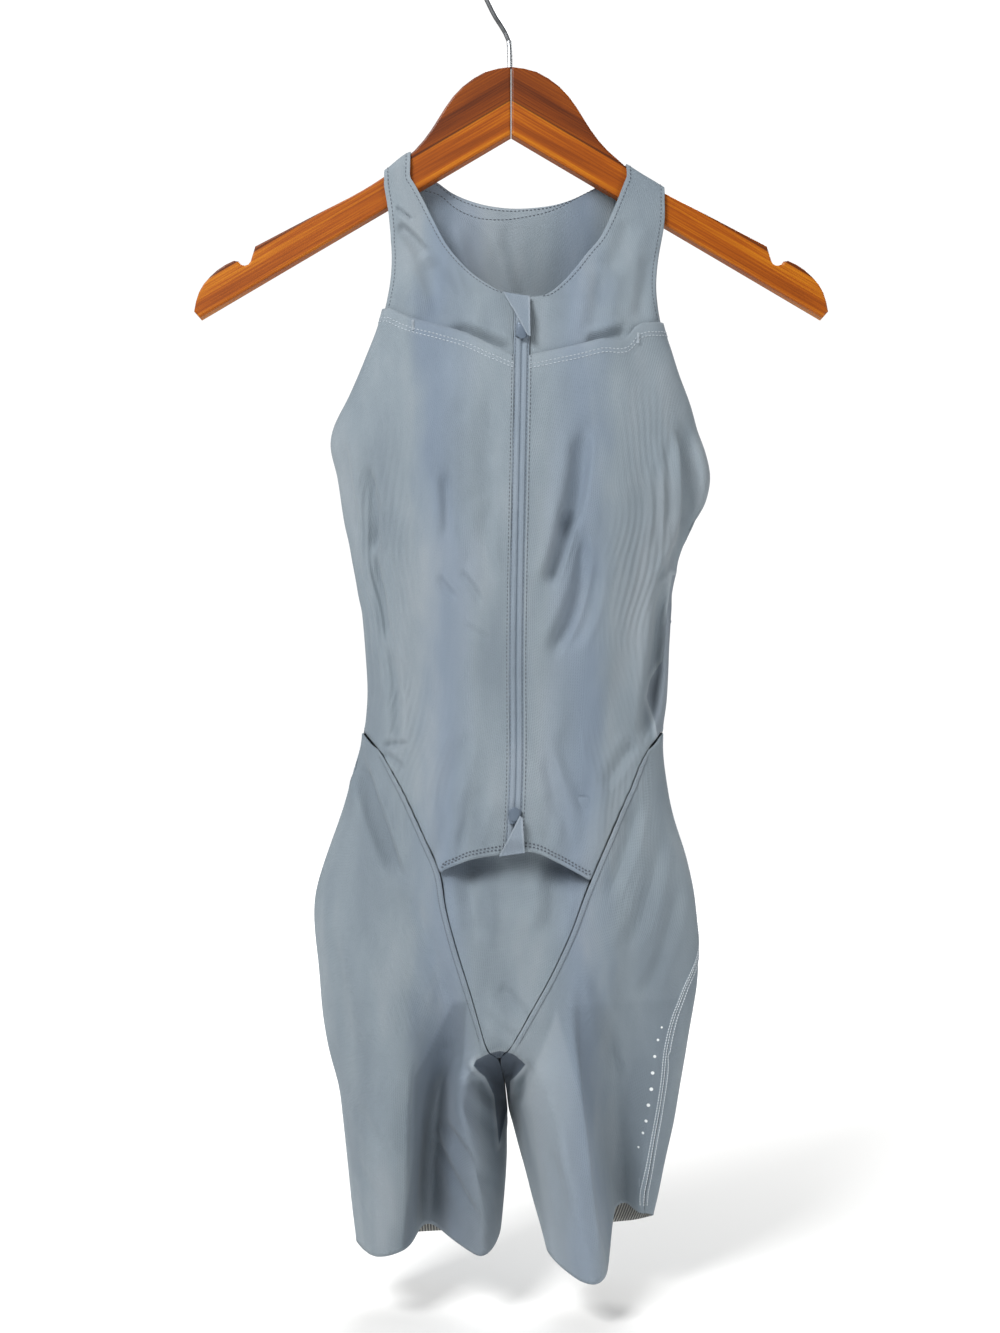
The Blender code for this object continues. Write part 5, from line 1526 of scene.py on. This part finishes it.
# Each cut piece's flat size and area, in metres and square metres, and its mesh
for name, sheet in sheets.items():
    elastic = name.startswith("grip")
    if elastic:
        sheet.points = sheet.points - normals_of(sheet.points) * (WALL + GRIP_CLEAR)
    sheet.flat = [float(lengths(sheet.points, 1)[:, -1].max()) * MM,
                  float(lengths(sheet.points, 0)[-1].max()) * MM]
    cell_u = np.diff(sheet.points, axis=1)[:-1]
    cell_v = np.diff(sheet.points, axis=0)[:, :-1]
    sheet.area = float(np.linalg.norm(np.cross(cell_u, cell_v), axis=2).sum()) * MM * MM
    material = ELASTIC if elastic else TAPE if name.startswith("zip") else KNIT
    sheet.piece = sheet.build(material, GRIP_WALL if elastic else CLOTH_WALL)
    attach(sheet.piece, "root")
    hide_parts(name)

# ------------------------------------------------------------------------------------- seams

# The rows of stitches on the pieces of each side: the piece, their name and thread, their
# pitch, length and width, how they lie, and each row's edge, distance from it, share and lift
for side, hand in SIDES:
    inner, outer = EDGES[side]
    for piece, name, thread, size, ways, rows in (
            ("body_", "pocket_stitching_", THREAD, (2.8, 2.0, 0.8), {},
             [("top", 7.0), ("top", 9.6)]),
            ("body_", "hem_stitching_", SHADED_THREAD, (2.6, 1.7, 1.1), {},
             [("bottom", 3.6, HEM_PART[side], 0.2), ("bottom", 5.8, HEM_PART[side], 0.2)]),
            ("body_", "zip_stitching_", SHADED_THREAD, (2.8, 2.0, 0.65), {}, [(inner, 1.5)]),
            ("yoke_", "neck_stitching_", SHADED_THREAD, (2.8, 2.0, 0.65), {},
             [(inner, 3.1, NECK_PART), (outer, 3.1, ARMHOLE_PART)]),
            ("leg_front_", "v_seam_stitching_", SHADED_THREAD, (1.7, 1.3, 0.6), {},
             [(inner, 3.7, V_PART)]),
            ("leg_front_", "v_seam_loops_", SELF_THREAD, (1.1, 2.9, 0.5),
             {"across": True, "turn": 0.35}, [(inner, 1.8, V_PART)]),
            ("leg_front_", "outer_seam_front_", SEAM_THREAD, (2.0, 1.8, 0.8), {},
             [(outer, 0.5, OUTER_PART), (outer, 2.4, OUTER_PART)]),
            ("leg_back_", "outer_seam_back_", SEAM_THREAD, (2.0, 1.8, 0.8), {},
             [(inner, 2.0, OUTER_PART)]),
            ("leg_back_", "centre_back_stitching_", SHADED_THREAD, (2.2, 1.6, 0.7), {},
             [(outer, 2.2)]),
            ("leg_back_", "waist_stitching_", THREAD, (2.2, 1.6, 0.7), {}, [("top", 2.6)])):
        lines = [sheets[piece + hand].line(*row) for row in rows]
        sew(piece + hand, name + hand, lines, *size, thread, **ways)
back = sheets["back_body"]
neck_rows = [back.line("top", offset, BACK_NECK_PART) for offset in (2.2, 9.8)]
sew("back_body", "back_neck_stitching", neck_rows, material=SHADED_THREAD)
inner_rows = [back.line("top", offset, BACK_NECK_PART, -CLOTH_WALL) for offset in (2.2, 9.8)]
sew("back_body", "back_neck_inside", [(points, -normals) for points, normals in inner_rows],
    material=SHADED_THREAD)
sew("back_body", "back_armhole_stitching",
    [back.line(edge, 3.0, BACK_ARMHOLE_PART) for edge in ("left", "right")],
    width=0.65, material=SHADED_THREAD)
sew("back_body", "back_waist_stitching", [back.line("bottom", 2.6)], pitch=2.2, length=1.6)

# ---------------------------------------------------------------- zip, sliders, tacks, dots

ENAMEL = enamelled_zinc()
teeth_line = strip.line("left", 4.8, (0.01, 0.99), lift=-0.10)
sew("zip", "zip_teeth", [teeth_line], pitch=1.25, length=1.5, width=0.55, material=ENAMEL,
    across=True)
sew("zip", "zip_edge_stitching", [strip.line("left", 0.55), strip.line("right", 0.55)],
    width=0.35, material=SHADED_THREAD)

# Short dense bars of thread, upright on the cloth: place in front view, height and lift
for owner, name, x, z, span, lift in (
        ("body_left", "bar_tack_left", -67.5, -279.8, 7.5, 2.2),
        ("body_right", "bar_tack_right", 87.0, -288.7, 7.5, 2.2),
        ("leg_front_right", "bar_tack_hem", 91.8, -879.8, 6.0, 1.0)):
    points = np.array([front(x, z + span * (n / 4 - 0.5), lift) for n in range(5)])
    sew(owner, name, [(points, np.tile([0.0, -1.0, 0.0], (5, 1)))], pitch=0.6, length=2.2,
        width=0.5, across=True)

# The sliders, in metres and shares
SLIDER_FILL = (0.98, 0.95, 0.98)        # of the plain slider's box
SLIDER_WAIST, SLIDER_CROWN = 0.11, 0.35
PULL_RADIUS, PULL_THICK, PULL_DROP = 0.0031, 0.0011, 0.0036


def rounded_slider(node, name, tab_down):
    """A slider body with crowned top, drawn-in waist and a flat rounded pull on it."""
    low, high = (np.array(corner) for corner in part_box(node))
    middle, size = (low + high) / 2, high - low
    down = -1 if tab_down else 1
    deselect()
    bpy.ops.mesh.primitive_cube_add(size=1, location=middle)
    piece = bpy.context.object
    piece.name = name
    piece.scale = size * np.array(SLIDER_FILL)
    flatten(piece)
    bpy.ops.object.mode_set(mode="EDIT")
    bpy.ops.mesh.select_all(action="SELECT")
    bpy.ops.mesh.subdivide(number_cuts=3)
    bpy.ops.object.mode_set(mode="OBJECT")
    for vertex in piece.data.vertices:
        off = (np.array(vertex.co) - middle) / (size / 2)
        narrow = 1 + SLIDER_WAIST * off[2] * down
        crown = 1 - SLIDER_CROWN * off[0] ** 2 * (off[1] < 0)
        vertex.co.x = middle[0] + off[0] * size[0] / 2 * narrow
        vertex.co.y = middle[1] + off[1] * size[1] / 2 * crown
    apply_modifier(piece, "BEVEL", width=0.0006, segments=2)
    apply_modifier(piece, "SUBSURF", levels=1, render_levels=1)
    bpy.ops.mesh.primitive_cylinder_add(vertices=32, radius=PULL_RADIUS, depth=PULL_THICK,
                                        location=(middle[0], low[1] - 0.0006, middle[2]),
                                        rotation=(math.pi / 2, 0, 0))
    pull = bpy.context.object
    pull.name = name + "_pull"
    flatten(pull)
    for vertex in pull.data.vertices:
        if (vertex.co.z - middle[2]) * down > 0:
            vertex.co.z += down * PULL_DROP
    apply_modifier(pull, "BEVEL", width=0.0004, segments=3)
    for thing in (piece, pull):
        thing.data.materials.append(ENAMEL)
        thing.data.shade_smooth()
        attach(thing, "root")
    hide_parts(node)


rounded_slider("zip_slider_top", "top_slider", True)
rounded_slider("zip_slider_end", "end_slider", False)

# Reflective dots down the right leg's outer seam: place in front view and size
DOTS = [(104.5, -766.1, 1.6), (102.4, -776.5, 1.9), (100.4, -788.0, 2.2), (99.0, -799.4, 2.5),
        (97.6, -810.9, 2.7), (96.2, -822.5, 2.6), (94.8, -834.0, 2.3), (92.8, -844.0, 2.0),
        (90.0, -854.6, 1.7)]
DOT_FLAT = 0.16             # a dot's height as a share of its width
DOT_LIFT = 0.15
beads = []
thigh = sheets["leg_front_right"]
flat_points = thigh.points.reshape(-1, 3)
flat_normals = normals_of(thigh.points).reshape(-1, 3)
for x, z, across in DOTS:
    gap = np.hypot(flat_points[:, 0] - x, flat_points[:, 2] - z)
    near = int(np.argmin(gap + 100 * (flat_normals[:, 1] > -0.1)))      # on the front only
    normal = flat_normals[near]
    bpy.ops.mesh.primitive_uv_sphere_add(segments=16, ring_count=8, radius=across / 2 * MM)
    bead = bpy.context.object
    bead.scale = (1, 1, DOT_FLAT)
    turn = np.cross([0, 0, 1], normal)
    tilt = float(np.linalg.norm(turn))
    bead.rotation_mode = "AXIS_ANGLE"
    bead.rotation_axis_angle = (math.atan2(tilt, float(normal[2])), *turn / max(1e-9, tilt))
    bead.location = (flat_points[near] + normal * DOT_LIFT) * MM
    beads.append(bead)
deselect()
for bead in beads:
    bead.select_set(True)
bpy.context.view_layer.objects.active = beads[0]
bpy.ops.object.join()
dots = bpy.context.object
dots.name = "reflective_dots"
flatten(dots)
dots.data.materials.append(reflective_print())
dots.data.shade_smooth()
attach(dots, "root")
sewing.setdefault("leg_front_right", []).append(dots)

for name, sheet in sheets.items():
    side = name.split("_")[-1]

# ------------------------------------------------------------------------------- the hanger

BAMBOO = laminated_bamboo()
for node, material in (("hanger_arm_left", BAMBOO), ("hanger_arm_right", BAMBOO),
                       ("hanger_hook", plated_wire())):
    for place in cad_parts[node].material_slots:
        place.material = material

# ----------------------------------------------------------------------- floor, lights, view

FLOOR_Z, FLOOR_SIZE = -0.965, 40        # metres
deselect()
bpy.ops.mesh.primitive_plane_add(size=1, location=(0, 0, FLOOR_Z))
floor = bpy.context.object
floor.name = "floor"
floor.scale = (FLOOR_SIZE, FLOOR_SIZE, 1)
flatten(floor)
floor.data.materials.append(studio_card("pale_card", "F7F7F6"))

ROOM_LIGHT, ROOM_SEEN = 0.33, 1.05      # how bright the room is, as light and to the camera
bpy.context.scene.view_settings.view_transform = "Standard"
world = bpy.data.worlds.new("pale_room")
bpy.context.scene.world = world
world.use_nodes = True
background = world.node_tree.nodes["Background"]
background.inputs["Color"].default_value = linear("FFFFFF")
seen = add(world.node_tree, "LightPath").outputs["Is Camera Ray"]
brightness = add(world.node_tree, "MapRange", {"Value": seen},
                 {"To Min": ROOM_LIGHT, "To Max": ROOM_SEEN})
world.node_tree.links.new(brightness.outputs[0], background.inputs["Strength"])


def aim(thing, place, target):
    """Turns a lamp or camera at a place so that its -Z axis points at a target."""
    run = np.array(target, float) - np.array(place, float)
    flat_run = math.hypot(run[0], run[1])
    thing.location = place
    thing.rotation_euler = (math.atan2(flat_run, -run[2]), 0, math.atan2(-run[0], run[1]))


# Soft boxes: place, what each points at, width and height in metres, and watts
for name, place, target, width, height, power in (
        ("key", (-1.0, -1.4, 0.9), (0, 0, -0.55), 0.8, 0.9, 50),
        ("fill", (1.7, -1.5, -0.2), (0, 0, -0.6), 1.2, 1.4, 12),
        ("behind", (0.4, 1.6, 0.8), (0, 0, -0.5), 1.6, 1.2, 34)):
    light = bpy.data.lights.new(name, "AREA")
    light.shape = "RECTANGLE"
    light.size, light.size_y = width, height
    light.energy = power
    lamp = bpy.data.objects.new(name, light)
    aim(lamp, place, target)
    bpy.context.scene.collection.objects.link(lamp)

# The camera is level, 1.25 m in front of the garment, at the middle of the photo
VIEW_X, VIEW_Z, VIEW_FAR = -0.0078, -0.5156, 1.25
camera_data = bpy.data.cameras.new("view")
camera_data.sensor_fit = "VERTICAL"
camera_data.sensor_height = 36.0
camera_data.lens = 47.8
camera = bpy.data.objects.new("view", camera_data)
aim(camera, (VIEW_X, -VIEW_FAR, VIEW_Z), (VIEW_X, 0.0, VIEW_Z))
bpy.context.scene.collection.objects.link(camera)
bpy.context.scene.camera = camera
